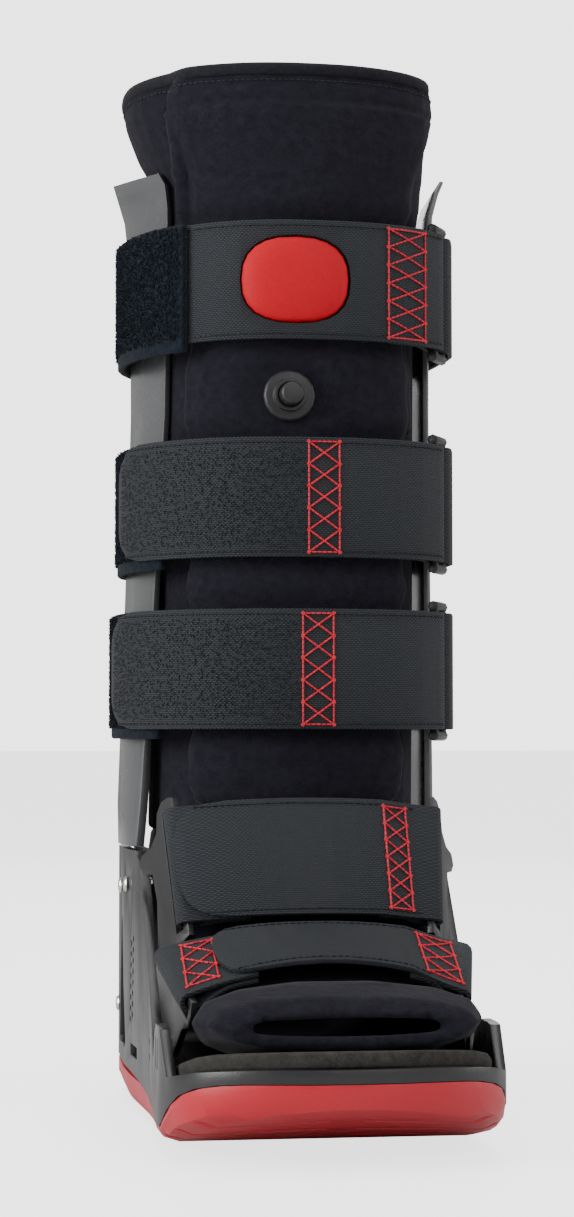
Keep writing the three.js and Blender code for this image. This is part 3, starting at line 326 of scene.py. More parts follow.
def make_finishes(colours):
    """All the boot's materials, from the panel's colours."""
    grain, weave, fleece = grain_group(), weave_group(), fleece_group()

    # second colours: real wear for the moulded parts, painted highlight for the cloth, pile and webbing
    def lighter(colour, by):
        return tuple(min(1.0, part * by + 0.002) for part in colour)

    rubber, shell, strut = tuple(colours.rubber), tuple(colours.shell), tuple(colours.strut)
    cloth, web, pile = tuple(colours.fleece), tuple(colours.webbing), tuple(colours.pile)
    pump, thread = tuple(colours.pump), tuple(colours.thread)
    def add(key, name, group, base, worn_and_lit, **surface):
        FINISHES[key] = finish(name, group, base, worn_and_lit, **surface)

    add(
        "rubber", "red sole rubber", grain, rubber, lighter(rubber, 1.25),
        scale=900, roughness=0.42, depth=0.12, coat=0.1,
    )
    add(
        "shell", "grained shell plastic", grain, shell, lighter(shell, 2.1),
        scale=1100, roughness=0.36, depth=0.1,
    )
    add(
        "strut", "satin strut plastic", grain, strut, lighter(strut, 1.6),
        scale=1300, roughness=0.27, depth=0.05, coat=0.15,
    )
    add(
        "foam", "insole foam", fleece, (0.022, 0.02, 0.018), (0.05, 0.047, 0.043),
        scale=1400, roughness=0.85, depth=0.3, gloss=0.2,
    )
    add(
        "fleece", "brushed liner cloth", fleece, cloth, lighter(cloth, 2.4),
        scale=1300, roughness=0.9, depth=0.6, sheen=0.04, gloss=0.12,
    )
    add(
        "binding", "binding tape", fleece, (0.004, 0.004, 0.006), (0.015, 0.015, 0.02),
        scale=2200, roughness=0.8, depth=0.3, sheen=0.04, gloss=0.15,
    )
    add(
        "webbing", "woven webbing", weave, web, lighter(web, 4.5),
        scale=620, roughness=0.7, depth=0.5, sheen=0.03, gloss=0.25, uv=True,
    )
    add(
        "pile", "loop pile", fleece, pile, lighter(pile, 3.0),
        scale=1600, roughness=0.95, depth=1.0, sheen=0.05, gloss=0.1,
    )
    add(
        "pump", "crimson pump cover", fleece, pump, lighter(pump, 1.15),
        scale=2600, roughness=0.6, depth=0.12, gloss=0.2,
    )
    add(
        "valve", "valve plastic", grain, (0.014, 0.014, 0.015), (0.04, 0.04, 0.04),
        scale=1500, roughness=0.45, depth=0.06, gloss=0.35,
    )
    add(
        "steel", "plated steel", grain, (0.62, 0.6, 0.55), (0.75, 0.72, 0.66),
        scale=1500, roughness=0.3, depth=0.04, metallic=1.0,
    )
    add(
        "thread", "red thread", fleece, thread, lighter(thread, 1.4),
        scale=3000, roughness=0.6, depth=0.1,
    )
    add(
        "dark thread", "dark thread", fleece, (0.008, 0.008, 0.011), (0.03, 0.03, 0.036),
        scale=3000, roughness=0.6, depth=0.1, gloss=0.2,
    )
    add(
        "hooks", "hook tape", fleece, (0.012, 0.013, 0.016), (0.04, 0.043, 0.05),
        scale=3000, roughness=0.5, depth=0.1, gloss=0.3,
    )


# Straps


def tree_of(piece):
    """A piece's faces, ready for finding its surface along a line."""
    vertices = [v.co.copy() for v in piece.data.vertices]
    return BVHTree.FromPolygons(vertices, [tuple(f.vertices) for f in piece.data.polygons])


class Wrap:
    """Places on a strap that goes round the leg or foot, by angle and by distance across it."""

    def __init__(self, piece, centre, across, facing):
        self.centre = centre
        self.across, self.facing = across.normalized(), facing.normalized()
        self.tree = tree_of(piece)

    def at(self, angle, across, lift=0.25):
        """The point on the strap's outside, and which way it faces; None past its edge."""
        turn = math.radians(angle)
        out = RIGHT * math.sin(turn) + self.facing * math.cos(turn)
        base = self.centre + self.across * (across * MM)
        hit, normal, _, _ = self.tree.ray_cast(base + out * 0.2, -out)
        if hit is None or (hit - base).length < 0.02:
            return None
        if normal.dot(out) < 0:
            normal = -normal
        return hit + normal * (lift * MM), normal

    def line(self, start, end, steps, lift=0.25):
        """The points of a straight run of thread, from one (angle, across) to another."""
        points = []
        for index in range(steps + 1):
            share = index / steps
            sideways = start[0] + (end[0] - start[0]) * share
            found = self.at(sideways, start[1] + (end[1] - start[1]) * share, lift)
            if found is not None:
                points.append(found[0])
        return points


class FlatWrap(Wrap):
    """Places on a strap that lies over the foot in a low arch, by millimetres sideways and across."""

    def at(self, sideways, across, lift=0.25):
        base = self.centre + RIGHT * (sideways * MM) + self.across * (across * MM)
        hit, normal, _, _ = self.tree.ray_cast(base + self.facing * 0.08, -self.facing)
        if hit is None:
            return None
        if normal.dot(self.facing) < 0:
            normal = -normal
        return hit + normal * (lift * MM), normal


def round_uv(piece, centre, across, facing, reach):
    """UVs that run along the strap and across it, in metres, so that the weave follows it."""
    across, facing = across.normalized(), facing.normalized()
    layer = piece.data.uv_layers.get("UVMap") or piece.data.uv_layers.new(name="UVMap")
    for face in piece.data.polygons:
        angles = []
        for index in face.vertices:
            offset = piece.data.vertices[index].co - centre
            angles.append(math.atan2(offset.dot(RIGHT), offset.dot(facing)))
        if max(angles) - min(angles) > math.pi:
            angles = [a + 2 * math.pi if a < 0 else a for a in angles]
        for loop, index, angle in zip(face.loop_indices, face.vertices, angles):
            offset = piece.data.vertices[index].co - centre
            layer.data[loop].uv = (angle * reach * MM, offset.dot(across))


def set_input(tree, modifier, name, value):
    """Sets one named input of a Geometry Nodes modifier."""
    for item in tree.interface.items_tree:
        if item.item_type == "SOCKET" and item.in_out == "INPUT" and item.name == name:
            modifier[item.identifier] = value


def stitch_tree():
    """Geometry Nodes: a row of thread stitches along every line of a mesh."""
    tree = bpy.data.node_groups.new("stitch row", "GeometryNodeTree")
    sockets = tree.interface
    sockets.new_socket("Geometry", in_out="INPUT", socket_type="NodeSocketGeometry")
    for name in ("Spacing", "Stitch length", "Thread radius"):
        sockets.new_socket(name, in_out="INPUT", socket_type="NodeSocketFloat")
    sockets.new_socket("Material", in_out="INPUT", socket_type="NodeSocketMaterial")
    sockets.new_socket("Geometry", in_out="OUTPUT", socket_type="NodeSocketGeometry")
    make, link = tree.nodes.new, tree.links.new
    enter, leave = make("NodeGroupInput"), make("NodeGroupOutput")
    curve, resample = make("GeometryNodeMeshToCurve"), make("GeometryNodeResampleCurve")
    resample.mode = "LENGTH"
    tangent, align = make("GeometryNodeInputTangent"), make("FunctionNodeAlignRotationToVector")
    thread, place = make("GeometryNodeMeshCylinder"), make("GeometryNodeInstanceOnPoints")
    thread.inputs["Vertices"].default_value = 6
    realize, paint = make("GeometryNodeRealizeInstances"), make("GeometryNodeSetMaterial")
    link(enter.outputs["Geometry"], curve.inputs["Mesh"])
    link(curve.outputs["Curve"], resample.inputs["Curve"])
    link(enter.outputs["Spacing"], resample.inputs["Length"])
    link(resample.outputs["Curve"], place.inputs["Points"])
    link(tangent.outputs["Tangent"], align.inputs["Vector"])
    link(align.outputs["Rotation"], place.inputs["Rotation"])
    link(enter.outputs["Thread radius"], thread.inputs["Radius"])
    link(enter.outputs["Stitch length"], thread.inputs["Depth"])
    link(thread.outputs["Mesh"], place.inputs["Instance"])
    link(place.outputs["Instances"], realize.inputs["Geometry"])
    link(realize.outputs["Geometry"], paint.inputs["Geometry"])
    link(enter.outputs["Material"], paint.inputs["Material"])
    link(paint.outputs["Geometry"], leave.inputs["Geometry"])
    return tree


def tuft_tree():
    """Geometry Nodes: small cones scattered over a surface, as pile or as hooks."""
    tree = bpy.data.node_groups.new("tufts", "GeometryNodeTree")
    sockets = tree.interface
    sockets.new_socket("Geometry", in_out="INPUT", socket_type="NodeSocketGeometry")
    for name in ("Density", "Tuft height", "Tuft radius", "Lean"):
        sockets.new_socket(name, in_out="INPUT", socket_type="NodeSocketFloat")
    sockets.new_socket("Seed", in_out="INPUT", socket_type="NodeSocketInt")
    sockets.new_socket("Material", in_out="INPUT", socket_type="NodeSocketMaterial")
    sockets.new_socket("Geometry", in_out="OUTPUT", socket_type="NodeSocketGeometry")
    make, link = tree.nodes.new, tree.links.new
    enter, leave = make("NodeGroupInput"), make("NodeGroupOutput")
    scatter, tuft = make("GeometryNodeDistributePointsOnFaces"), make("GeometryNodeMeshCone")
    tuft.inputs["Vertices"].default_value = 4
    tuft.inputs["Radius Top"].default_value = 0.00008
    tilt, turn = make("FunctionNodeRandomValue"), make("FunctionNodeRotateRotation")
    tilt.data_type = "FLOAT_VECTOR"
    spin = make("FunctionNodeEulerToRotation")
    turn.rotation_space = "LOCAL"
    low = make("ShaderNodeCombineXYZ")
    high = make("ShaderNodeCombineXYZ")
    minus = make("ShaderNodeMath")
    minus.operation = "MULTIPLY"
    minus.inputs[1].default_value = -1
    link(enter.outputs["Lean"], minus.inputs[0])
    for axis in (0, 1):
        link(minus.outputs[0], low.inputs[axis])
        link(enter.outputs["Lean"], high.inputs[axis])
    link(low.outputs[0], tilt.inputs["Min"])
    link(high.outputs[0], tilt.inputs["Max"])
    link(enter.outputs["Seed"], tilt.inputs["Seed"])
    link(tilt.outputs["Value"], spin.inputs["Euler"])
    place, realize = make("GeometryNodeInstanceOnPoints"), make("GeometryNodeRealizeInstances")
    paint = make("GeometryNodeSetMaterial")
    link(enter.outputs["Geometry"], scatter.inputs["Mesh"])
    link(enter.outputs["Density"], scatter.inputs["Density"])
    link(enter.outputs["Seed"], scatter.inputs["Seed"])
    link(scatter.outputs["Points"], place.inputs["Points"])
    link(scatter.outputs["Rotation"], turn.inputs["Rotation"])
    link(spin.outputs["Rotation"], turn.inputs["Rotate By"])
    link(turn.outputs["Rotation"], place.inputs["Rotation"])
    link(enter.outputs["Tuft radius"], tuft.inputs["Radius Bottom"])
    link(enter.outputs["Tuft height"], tuft.inputs["Depth"])
    link(tuft.outputs["Mesh"], place.inputs["Instance"])
    link(place.outputs["Instances"], realize.inputs["Geometry"])
    link(realize.outputs["Geometry"], paint.inputs["Geometry"])
    link(enter.outputs["Material"], paint.inputs["Material"])
    link(paint.outputs["Geometry"], leave.inputs["Geometry"])
    return tree


TREES = {}
WRAPS = {}


def repeated(name, tree, mesh, settings, material):
    """Runs a Geometry Nodes tree on a mesh and keeps the result as a plain piece."""
    piece = piece_from(mesh, name)
    modifier = piece.modifiers.new(tree.name, "NODES")
    modifier.node_group = tree
    for key, value in settings.items():
        set_input(tree, modifier, key, value)
    set_input(tree, modifier, "Material", material)
    settled(piece)
    shade(piece, 60)
    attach(piece, "boot")
    return piece


def rows(name, runs, spacing, length, radius, material):
    """Stitches along each run of points."""
    mesh = bpy.data.meshes.new(name)
    points, edges = [], []
    for run in runs:
        start = len(points)
        points.extend(run)
        edges.extend((start + i, start + i + 1) for i in range(len(run) - 1))
    mesh.from_pydata(points, edges, [])
    settings = {"Spacing": spacing * MM, "Stitch length": length * MM, "Thread radius": radius * MM}
    return repeated(name, TREES["stitch"], mesh, settings, material)


def outer_skin(piece, wrap, first, last, rim):
    """The outward faces of a strap between two angles, without a rim at its edges."""
    form = bmesh.new()
    points = {}
    steps = max(2, int(abs(last - first) / 2))
    across = [-rim + 2 * rim * i / 12 for i in range(13)]
    for i in range(steps + 1):
        for j, offset in enumerate(across):
            found = wrap.at(first + (last - first) * i / steps, offset, 0.0)
            if found is not None:
                points[i, j] = form.verts.new(found[0])
    for i in range(steps):
        for j in range(12):
            corners = [points.get(k) for k in ((i, j), (i + 1, j), (i + 1, j + 1), (i, j + 1))]
            if None not in corners:
                form.faces.new(corners)
    mesh = bpy.data.meshes.new(piece.name + "_skin")
    form.normal_update()
    middle = wrap.centre
    turned = [f for f in form.faces if f.normal.dot(f.calc_center_median() - middle) < 0]
    bmesh.ops.reverse_faces(form, faces=turned)
    form.to_mesh(mesh)
    form.free()
    return mesh


# The panel's settings


class BootColours(bpy.types.PropertyGroup):
    """Base colours of the boot's materials."""

    def _colour(title, text, value):
        return bpy.props.FloatVectorProperty(
            name=title, description=text, default=value, subtype="COLOR", size=3, min=0, max=1
        )

    rubber: _colour("Sole rubber", "Colour of the rocker sole", (0.42, 0.0015, 0.012))
    shell: _colour("Shell", "Colour of the base shell", (0.011, 0.011, 0.012))
    strut: _colour("Struts", "Colour of the two uprights", (0.06, 0.061, 0.063))
    fleece: _colour("Liner", "Colour of the brushed liner", (0.0055, 0.0053, 0.0085))
    webbing: _colour("Webbing", "Colour of the straps", (0.0055, 0.0065, 0.008))
    pile: _colour("Loop pile", "Colour of the fuzzy bands", (0.004, 0.006, 0.009))
    pump: _colour("Pump cover", "Colour of the oval pump cover", (0.42, 0.0005, 0.008))
    thread: _colour("Thread", "Colour of the box stitches", (0.42, 0.006, 0.02))


class BootSizes(bpy.types.PropertyGroup):
    """Sizes of the sewn and padded detail, in millimetres."""

    padding_bulge: bpy.props.FloatProperty(
        name="Padding bulge",
        description="How far the liner swells between straps",
        default=2.2,
        min=0,
        max=5,
    )
    crease_depth: bpy.props.FloatProperty(
        name="Crease depth", description="Depth of the soft folds in the liner", default=1.1, min=0, max=3
    )
    stitch_spacing: bpy.props.FloatProperty(
        name="Stitch spacing", description="Distance from stitch to stitch", default=2.6, min=1, max=6
    )
    pile_density: bpy.props.FloatProperty(
        name="Pile density", description="Tufts for each square metre of pile", default=900000, min=0
    )


# The boot's pieces


class WALKBOOT_OT_hard_parts(bpy.types.Operator):
    """Make the sole, shell, struts, wings, rings, rivets and insole"""

    bl_idname = "walkboot.hard_parts"
    bl_label = "Sole, shell and struts"

    def execute(self, context):
        sole = moulded("outsole", "rocker_sole", 2.4, 30, 3)
        dress(sole, FINISHES["rubber"], ["outsole"])
        shell = moulded("base_shell", "moulded_shell", 0.9)
        dress(shell, FINISHES["shell"], ["base_shell"])
        insole = moulded("insole", "insole_foam", 1.2)
        dress(insole, FINISHES["foam"], ["insole"])
        for side in SIDES:
            strut = moulded(f"strut_{side}", f"upright_{side}", 0.9)
            dress(strut, FINISHES["strut"], [f"strut_{side}"])
            for place in ("instep", "forefoot"):
                wing = moulded(f"{place}_wing_{side}", f"{place}_slot_wing_{side}", 0.9)
                dress(wing, FINISHES["shell"], [f"{place}_wing_{side}"])
            for place in RIVETS:
                rivet = moulded(f"rivet_{side}_{place}", f"rivet_head_{side}_{place}", 0.5, 30, 3)
                dress(rivet, FINISHES["steel"], [f"rivet_{side}_{place}"])
        for level in STRAP_HEIGHTS:
            ring = moulded(f"strap_ring_{level}", f"square_ring_{level}", 0.8)
            dress(ring, FINISHES["shell"], [f"strap_ring_{level}"])
        return {"FINISHED"}


def between_straps(height):
    """How free the liner is to swell at this height: 0 under a strap and 1 between straps."""
    free = 1.0
    for centre in STRAP_HEIGHTS.values():
        away = (abs(height - centre) - 24) / 12
        free = min(free, max(0.0, min(1.0, away)))
    return free * free * (3 - 2 * free)


def crease(piece, centre, swell, depth, keep_clear):
    """Moves the outside of a padded piece in and out, as soft folds."""
    piece.data.update()
    normals = [v.normal.copy() for v in piece.data.vertices]
    for vertex, normal in zip(piece.data.vertices, normals):
        place = vertex.co
        out = Vector((place.x - centre.x, place.y - centre.y, 0))
        if out.length < 1e-6 or normal.dot(out.normalized()) < 0.2:
            continue
        free = keep_clear(place)
        if free <= 0:
            continue
        where = Vector((place.x * 26, place.y * 26, place.z * 46))
        fold = noise.noise(where) + 0.5 * noise.noise(where * 2.3)
        vertex.co = place + normal * ((swell * free + depth * free * fold) * MM)


def wall_at(trees, turn, height):
    """How far the padded wall reaches from the leg's middle at this height: its inside and its outside."""
    out = RIGHT * math.sin(turn) + FORWARD * math.cos(turn)
    base = UP * height
    hits = [tree.ray_cast(base + out * 0.2, -out)[0] for tree in trees]
    far = max((hit - base).dot(out) for hit in hits if hit is not None)
    hits = [tree.ray_cast(base, out)[0] for tree in trees]
    near = min((hit - base).length for hit in hits if hit is not None)
    return near, far


def evened(values, reach):
    """A ring of values, each the mean of those beside it."""
    count = len(values)
    beside = range(-reach, reach + 1)
    return [sum(values[(i + k) % count] for k in beside) / len(beside) for i in range(count)]


COLLAR_STEPS = 144
TAPE_FOOT = 0.4372
TAPE_TOP = 0.4434


def collar_tape(trees, name):
    """Sewn tape folded over the top edge of the liner and its front panel."""
    turns = [2 * math.pi * i / COLLAR_STEPS for i in range(COLLAR_STEPS)]
    walls = [wall_at(trees, turn, TAPE_FOOT) for turn in turns]
    near, far = evened([w[0] for w in walls], 2), evened([w[1] for w in walls], 2)
    form = bmesh.new()
    rings = []
    for turn, inside, outside in zip(turns, near, far):
        out = RIGHT * math.sin(turn) + FORWARD * math.cos(turn)
        profile = (
            (outside + 0.0003, TAPE_FOOT - 0.0004),
            (outside + 0.0013, TAPE_FOOT + 0.0002),
            (outside + 0.0013, TAPE_TOP - 0.0018),
            (outside - 0.0006, TAPE_TOP),
            (inside + 0.0006, TAPE_TOP),
            (inside - 0.0010, TAPE_TOP - 0.0018),
            (inside - 0.0010, TAPE_FOOT),
            (inside + 0.0012, TAPE_FOOT + 0.0004),
        )
        rings.append([form.verts.new(out * radius + UP * height) for radius, height in profile])
    for i, ring in enumerate(rings):
        beside = rings[(i + 1) % COLLAR_STEPS]
        for j in range(len(ring)):
            k = (j + 1) % len(ring)
            form.faces.new((ring[j], beside[j], beside[k], ring[k]))
    bmesh.ops.recalc_face_normals(form, faces=form.faces)
    mesh = bpy.data.meshes.new(name)
    form.to_mesh(mesh)
    form.free()
    piece = piece_from(mesh, name)
    finer = piece.modifiers.new("round tape", "SUBSURF")
    finer.levels = finer.render_levels = 1
    settled(piece)
    shade(piece, 60)
    return piece


def collar_run(trees, height):
    """The line of stitches just under the tape."""
    points = []
    for i in range(COLLAR_STEPS + 1):
        turn = 2 * math.pi * i / COLLAR_STEPS
        out = RIGHT * math.sin(turn) + FORWARD * math.cos(turn)
        points.append(out * (wall_at(trees, turn, height)[1] + 0.0002) + UP * height)
    return points


class WALKBOOT_OT_liner(bpy.types.Operator):
    """Make the padded leg liner, its front panel, the foot part and the collar binding"""

    bl_idname = "walkboot.liner"
    bl_label = "Padded liner"

    def execute(self, context):
        sizes = context.scene.walkboot_sizes

        def leg_free(place):
            side = abs(place.x) / max(1e-6, math.hypot(place.x, place.y))
            beside_strut = max(0.0, min(1.0, (0.9 - side) / 0.15))
            from_valve = (math.hypot(place.x - VALVE.x, place.z - VALVE.z) / MM - 13) / 9
            beside_strut *= max(0.0, min(1.0, from_valve)) if place.y < 0 else 1.0
            return between_straps(place.z / MM) * beside_strut * (0.0 if place.z > 0.425 else 1.0)

        leg = stuffed("leg_liner", "liner_leg", 1.9, 2)
        crease(leg, LEG_CENTRE, 0.6 * sizes.padding_bulge, sizes.crease_depth, leg_free)
        dress(leg, FINISHES["fleece"], ["leg_liner"])
        panel = stuffed("front_panel", "liner_front_panel", 1.7, 4)
        crease(panel, LEG_CENTRE, sizes.padding_bulge, sizes.crease_depth, leg_free)
        dress(panel, FINISHES["fleece"], ["front_panel"])
        foot = stuffed("foot_liner", "liner_foot", 1.8, 4)

        def toe_free(place):
            return 1.0 if place.y < TOE_PART else 0.0

        crease(foot, FOOT_CENTRE, 0, 0.6 * sizes.crease_depth, toe_free)
        dress(foot, FINISHES["fleece"], ["foot_liner"])
        trees = [tree_of(leg), tree_of(panel)]
        binding = collar_tape(trees, "collar_tape")
        dress(binding, FINISHES["binding"], ["collar_binding"])
        WRAPS["collar"] = collar_run(trees, TAPE_FOOT - 0.0022)
        return {"FINISHED"}


class WALKBOOT_OT_leg_straps(bpy.types.Operator):
    """Make the three leg straps with their fuzzy bands"""

    bl_idname = "walkboot.leg_straps"
    bl_label = "Leg straps"

    def execute(self, context):
        sizes = context.scene.walkboot_sizes
        for level, height in STRAP_HEIGHTS.items():
            centre = Vector((0, 0, height * MM))
            for part in ("front_strap", "back_strap"):
                strap = moulded(f"{part}_{level}", f"{part}_webbing_{level}", 0.5, 40)
                round_uv(strap, centre, UP, FORWARD, 67)
                dress(strap, FINISHES["webbing"], [f"{part}_{level}"])
                WRAPS[part, level] = (strap, Wrap(strap, centre, UP, FORWARD))
            band = moulded(f"loop_band_{level}", f"pile_band_{level}", 1.1, 40)
            dress(band, FINISHES["pile"], [f"loop_band_{level}"])
            wrap = Wrap(band, centre, UP, FORWARD)
            skin = outer_skin(band, wrap, STRAP_TIPS[level] + 24, -192, 24)
            settings = {
                "Density": sizes.pile_density,
                "Tuft height": 1.5 * MM,
                "Tuft radius": 0.45 * MM,
                "Lean": 0.9,
                "Seed": 7,
            }
            repeated(f"pile_tufts_{level}", TREES["tuft"], skin, settings, FINISHES["pile"])
        return {"FINISHED"}


FOOT_STRAPS = {
    "instep": (Vector((0, -0.087, 0.1055)), Vector((0, 0.41, 0.91)), Vector((0, -0.91, 0.41)), 52),
    "forefoot": (Vector((0, -0.123, 0.064)), Vector((0, 0.94, 0.34)), Vector((0, -0.34, 0.94)), 56),
}


class WALKBOOT_OT_foot_straps(bpy.types.Operator):
    """Make the instep and forefoot straps and their short loops"""

    bl_idname = "walkboot.foot_straps"
    bl_label = "Foot straps"

    def execute(self, context):
        for place, (centre, across, facing, reach) in FOOT_STRAPS.items():
            for part in ("strap", "loop"):
                strap = moulded(f"{place}_{part}", f"{place}_{part}_webbing", 0.5, 40)
                round_uv(strap, centre, across, facing, reach)
                dress(strap, FINISHES["webbing"], [f"{place}_{part}"])
                WRAPS[part, place] = (strap, FlatWrap(strap, centre, across, facing))
        return {"FINISHED"}


class WALKBOOT_OT_pump_and_valve(bpy.types.Operator):
    """Make the oval pump cover, the air valve and its push button"""

    bl_idname = "walkboot.pump_and_valve"
    bl_label = "Pump cover and valve"

    def execute(self, context):
        cover = moulded("pump_cover", "pump_oval", 1.4, 30, 3)
        dress(cover, FINISHES["pump"], ["pump_cover"])
        valve = moulded("valve_base", "valve_seat", 0.5, 30, 3)
        dress(valve, FINISHES["valve"], ["valve_base"])
        button = moulded("release_button", "valve_push_button", 0.6, 30, 3)
        dress(button, FINISHES["valve"], ["release_button"], "button")
        return {"FINISHED"}


def cross_box(wrap, first, last, low, high, crosses):
    """The stitched box and its column of crosses, as runs of points."""
    corners = [(first, low), (last, low), (last, high), (first, high)]
    runs = [wrap.line(corners[i], corners[(i + 1) % 4], 10, 0.35) for i in range(4)]
    step = (high - low) / crosses
    for index in range(crosses):
        below, above = low + index * step, low + (index + 1) * step
        runs.append(wrap.line((first, below), (last, above), 8, 0.35))
        runs.append(wrap.line((last, below), (first, above), 8, 0.35))
    return [run for run in runs if len(run) > 2]


class WALKBOOT_OT_stitching(bpy.types.Operator):
    """Sew the straps: edge rows, red boxes with crosses, and the hook side of the tape"""

    bl_idname = "walkboot.stitching"
    bl_label = "Stitching and hooks"

    def execute(self, context):
        sizes = context.scene.walkboot_sizes
        red, dark = [], []
        for level, tip in STRAP_TIPS.items():
            piece, wrap = WRAPS["front_strap", level]
            first, last = BOX_SPANS[level]
            red += cross_box(wrap, first, last, -BOX_HALF, BOX_HALF, 6 if level == "top" else 5)
            for edge in (-EDGE_ROW, EDGE_ROW):
                dark.append(wrap.line((tip + 5, edge), (52, edge), 60, 0.2))
            if level != "top":
                skin = outer_skin(piece, wrap, tip + 4, first - 1, 21)
                settings = {
                    "Density": 500000.0,
                    "Tuft height": 0.7 * MM,
                    "Tuft radius": 0.42 * MM,
                    "Lean": 0.1,
                    "Seed": 3,
                }
                repeated(f"hook_field_{level}", TREES["tuft"], skin, settings, FINISHES["hooks"])
        _, instep = WRAPS["strap", "instep"]
        red += cross_box(instep, 31.5, 41, -FOOT_BOX_HALF, FOOT_BOX_HALF, 6)
        for edge in (-EDGE_ROW, EDGE_ROW):
            dark.append(instep.line((-50, edge), (44, edge), 40, 0.2))
        _, forefoot = WRAPS["strap", "forefoot"]
        _, loop = WRAPS["loop", "forefoot"]
        red += cross_box(loop, -54, -42, -FOREFOOT_BOX_HALF, FOREFOOT_BOX_HALF, 3)
        red += cross_box(forefoot, 40, 54, -FOREFOOT_BOX_HALF, FOREFOOT_BOX_HALF, 3)
        for edge in (-FOREFOOT_EDGE_ROW, FOREFOOT_EDGE_ROW):
            dark.append(forefoot.line((-36, edge), (40, edge), 40, 0.2))
        dark.append(WRAPS["collar"])
        spacing = sizes.stitch_spacing
        dark = [run for run in dark if len(run) > 2]
        rows("box_stitches", red, spacing * 0.75, spacing * 0.7, 0.42, FINISHES["thread"])
        rows("edge_stitches", dark, spacing, spacing * 0.7, 0.32, FINISHES["dark thread"])
        return {"FINISHED"}


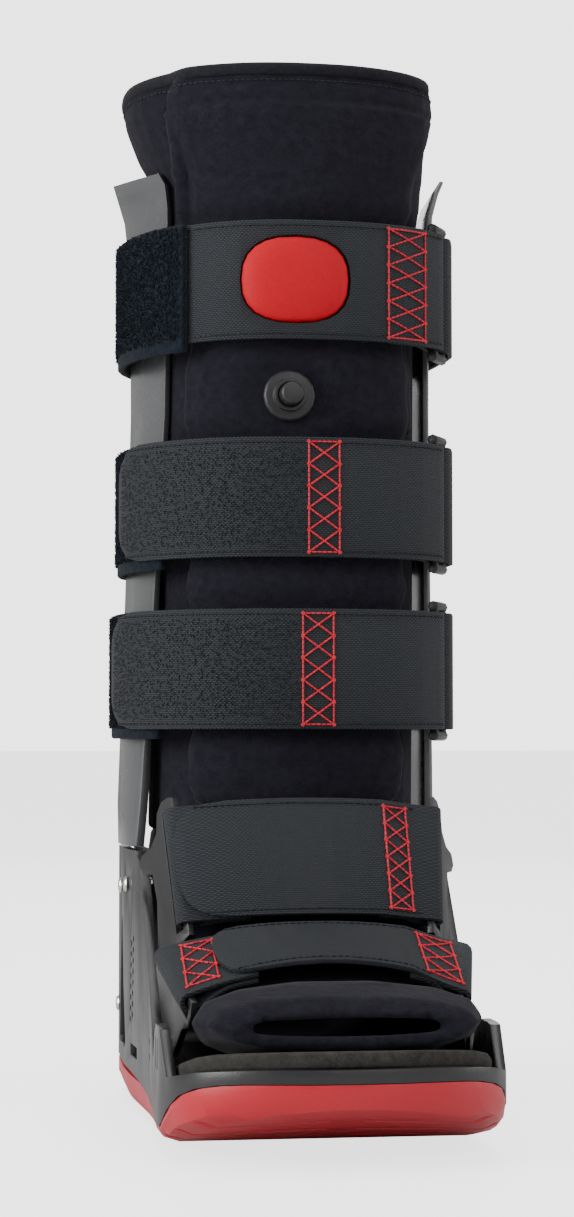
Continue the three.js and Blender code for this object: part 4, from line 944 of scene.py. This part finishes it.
class WALKBOOT_OT_stage(bpy.types.Operator):
    """Set up the pale floor, the soft lights and the camera"""

    bl_idname = "walkboot.stage"
    bl_label = "Floor, lights and camera"

    def execute(self, context):
        scene = context.scene
        mesh = bpy.data.meshes.new("pale_floor")
        reach = 30.0
        corners = [(-reach, -reach, 0), (reach, -reach, 0), (reach, reach, 0), (-reach, reach, 0)]
        mesh.from_pydata(corners, [], [(0, 1, 2, 3)])
        floor = piece_from(mesh, "pale_floor")
        paint = bpy.data.materials.new("pale floor")
        paint.use_nodes = True
        shader = paint.node_tree.nodes["Principled BSDF"]
        shader.inputs["Base Color"].default_value = (0.6, 0.6, 0.6, 1)
        shader.inputs["Roughness"].default_value = 0.6
        shader.inputs["Emission Color"].default_value = (1, 1, 1, 1)
        glow = paint.node_tree.nodes.new("ShaderNodeMath")
        glow.operation = "MULTIPLY"
        glow.inputs[1].default_value = 2.2
        ray = paint.node_tree.nodes.new("ShaderNodeLightPath")
        paint.node_tree.links.new(ray.outputs["Is Camera Ray"], glow.inputs[0])
        paint.node_tree.links.new(glow.outputs[0], shader.inputs["Emission Strength"])
        mesh.materials.append(paint)
        world = bpy.data.worlds.new("studio")
        world.use_nodes = True
        nodes, links = world.node_tree.nodes, world.node_tree.links
        sky = nodes["Background"]
        sky.inputs["Color"].default_value = (1, 1, 1, 1)
        seen, path = nodes.new("ShaderNodeMapRange"), nodes.new("ShaderNodeLightPath")
        seen.inputs["To Min"].default_value = 0.55
        seen.inputs["To Max"].default_value = 3.2
        links.new(path.outputs["Is Camera Ray"], seen.inputs["Value"])
        links.new(seen.outputs["Result"], sky.inputs["Strength"])
        scene.world = world
        self.light("left_softbox", (-1.4, -0.5, 0.6), 0.9, 30)
        self.light("front_softbox", (0.6, -1.9, 1.3), 1.2, 16)
        self.light("right_softbox", (1.5, -0.2, 0.6), 1.0, 8)
        self.light("top_softbox", (0.0, -0.2, 1.9), 1.2, 16)
        self.light("back_softbox", (0.2, 1.8, 1.2), 1.2, 14)
        lens = bpy.data.cameras.new("photo_camera")
        lens.lens = 78.1
        lens.sensor_width = 36
        lens.sensor_fit = "AUTO"
        lens.shift_x = 0.0082
        camera = bpy.data.objects.new("photo_camera", lens)
        scene.collection.objects.link(camera)
        camera.location = (-0.1621, -1.1537, 0.158)
        camera.rotation_euler = (math.radians(92.8), 0, math.radians(-8))
        scene.camera = camera
        return {"FINISHED"}

    def light(self, name, place, size, power):
        """A square soft light that looks at the boot's middle."""
        data = bpy.data.lights.new(name, "AREA")
        data.size = size
        data.energy = power
        lamp = bpy.data.objects.new(name, data)
        lamp.location = place
        aim = Vector((0, -0.05, 0.2)) - Vector(place)
        lamp.rotation_euler = aim.to_track_quat("-Z", "Y").to_euler()
        bpy.context.scene.collection.objects.link(lamp)


class WALKBOOT_PT_panel(bpy.types.Panel):
    """The boot's sizes, colours and building steps"""

    bl_label = "Walking boot"
    bl_idname = "WALKBOOT_PT_panel"
    bl_space_type = "VIEW_3D"
    bl_region_type = "UI"
    bl_category = "Walking boot"

    def draw(self, context):
        for group in (context.scene.walkboot_sizes, context.scene.walkboot_colours):
            for name in type(group).__annotations__:
                self.layout.prop(group, name)
        for step in STEPS:
            self.layout.operator(step.bl_idname)


STEPS = (
    WALKBOOT_OT_stage,
    WALKBOOT_OT_hard_parts,
    WALKBOOT_OT_liner,
    WALKBOOT_OT_leg_straps,
    WALKBOOT_OT_foot_straps,
    WALKBOOT_OT_pump_and_valve,
    WALKBOOT_OT_stitching,
)
CLASSES = (BootColours, BootSizes, *STEPS, WALKBOOT_PT_panel)


def register():
    """Makes the boot's settings, steps and panel known to Blender."""
    for item in CLASSES:
        bpy.utils.register_class(item)
    bpy.types.Scene.walkboot_colours = bpy.props.PointerProperty(type=BootColours)
    bpy.types.Scene.walkboot_sizes = bpy.props.PointerProperty(type=BootSizes)


def unregister():
    """Takes them away again."""
    del bpy.types.Scene.walkboot_sizes
    del bpy.types.Scene.walkboot_colours
    for item in reversed(CLASSES):
        bpy.utils.unregister_class(item)


def main():
    """Builds the whole boot, one step after another."""
    register()
    TREES["stitch"], TREES["tuft"] = stitch_tree(), tuft_tree()
    make_finishes(bpy.context.scene.walkboot_colours)
    bpy.ops.walkboot.stage()
    bpy.ops.walkboot.hard_parts()
    bpy.ops.walkboot.liner()
    bpy.ops.walkboot.leg_straps()
    bpy.ops.walkboot.foot_straps()
    bpy.ops.walkboot.pump_and_valve()
    bpy.ops.walkboot.stitching()


if __name__ == "__main__":
    main()
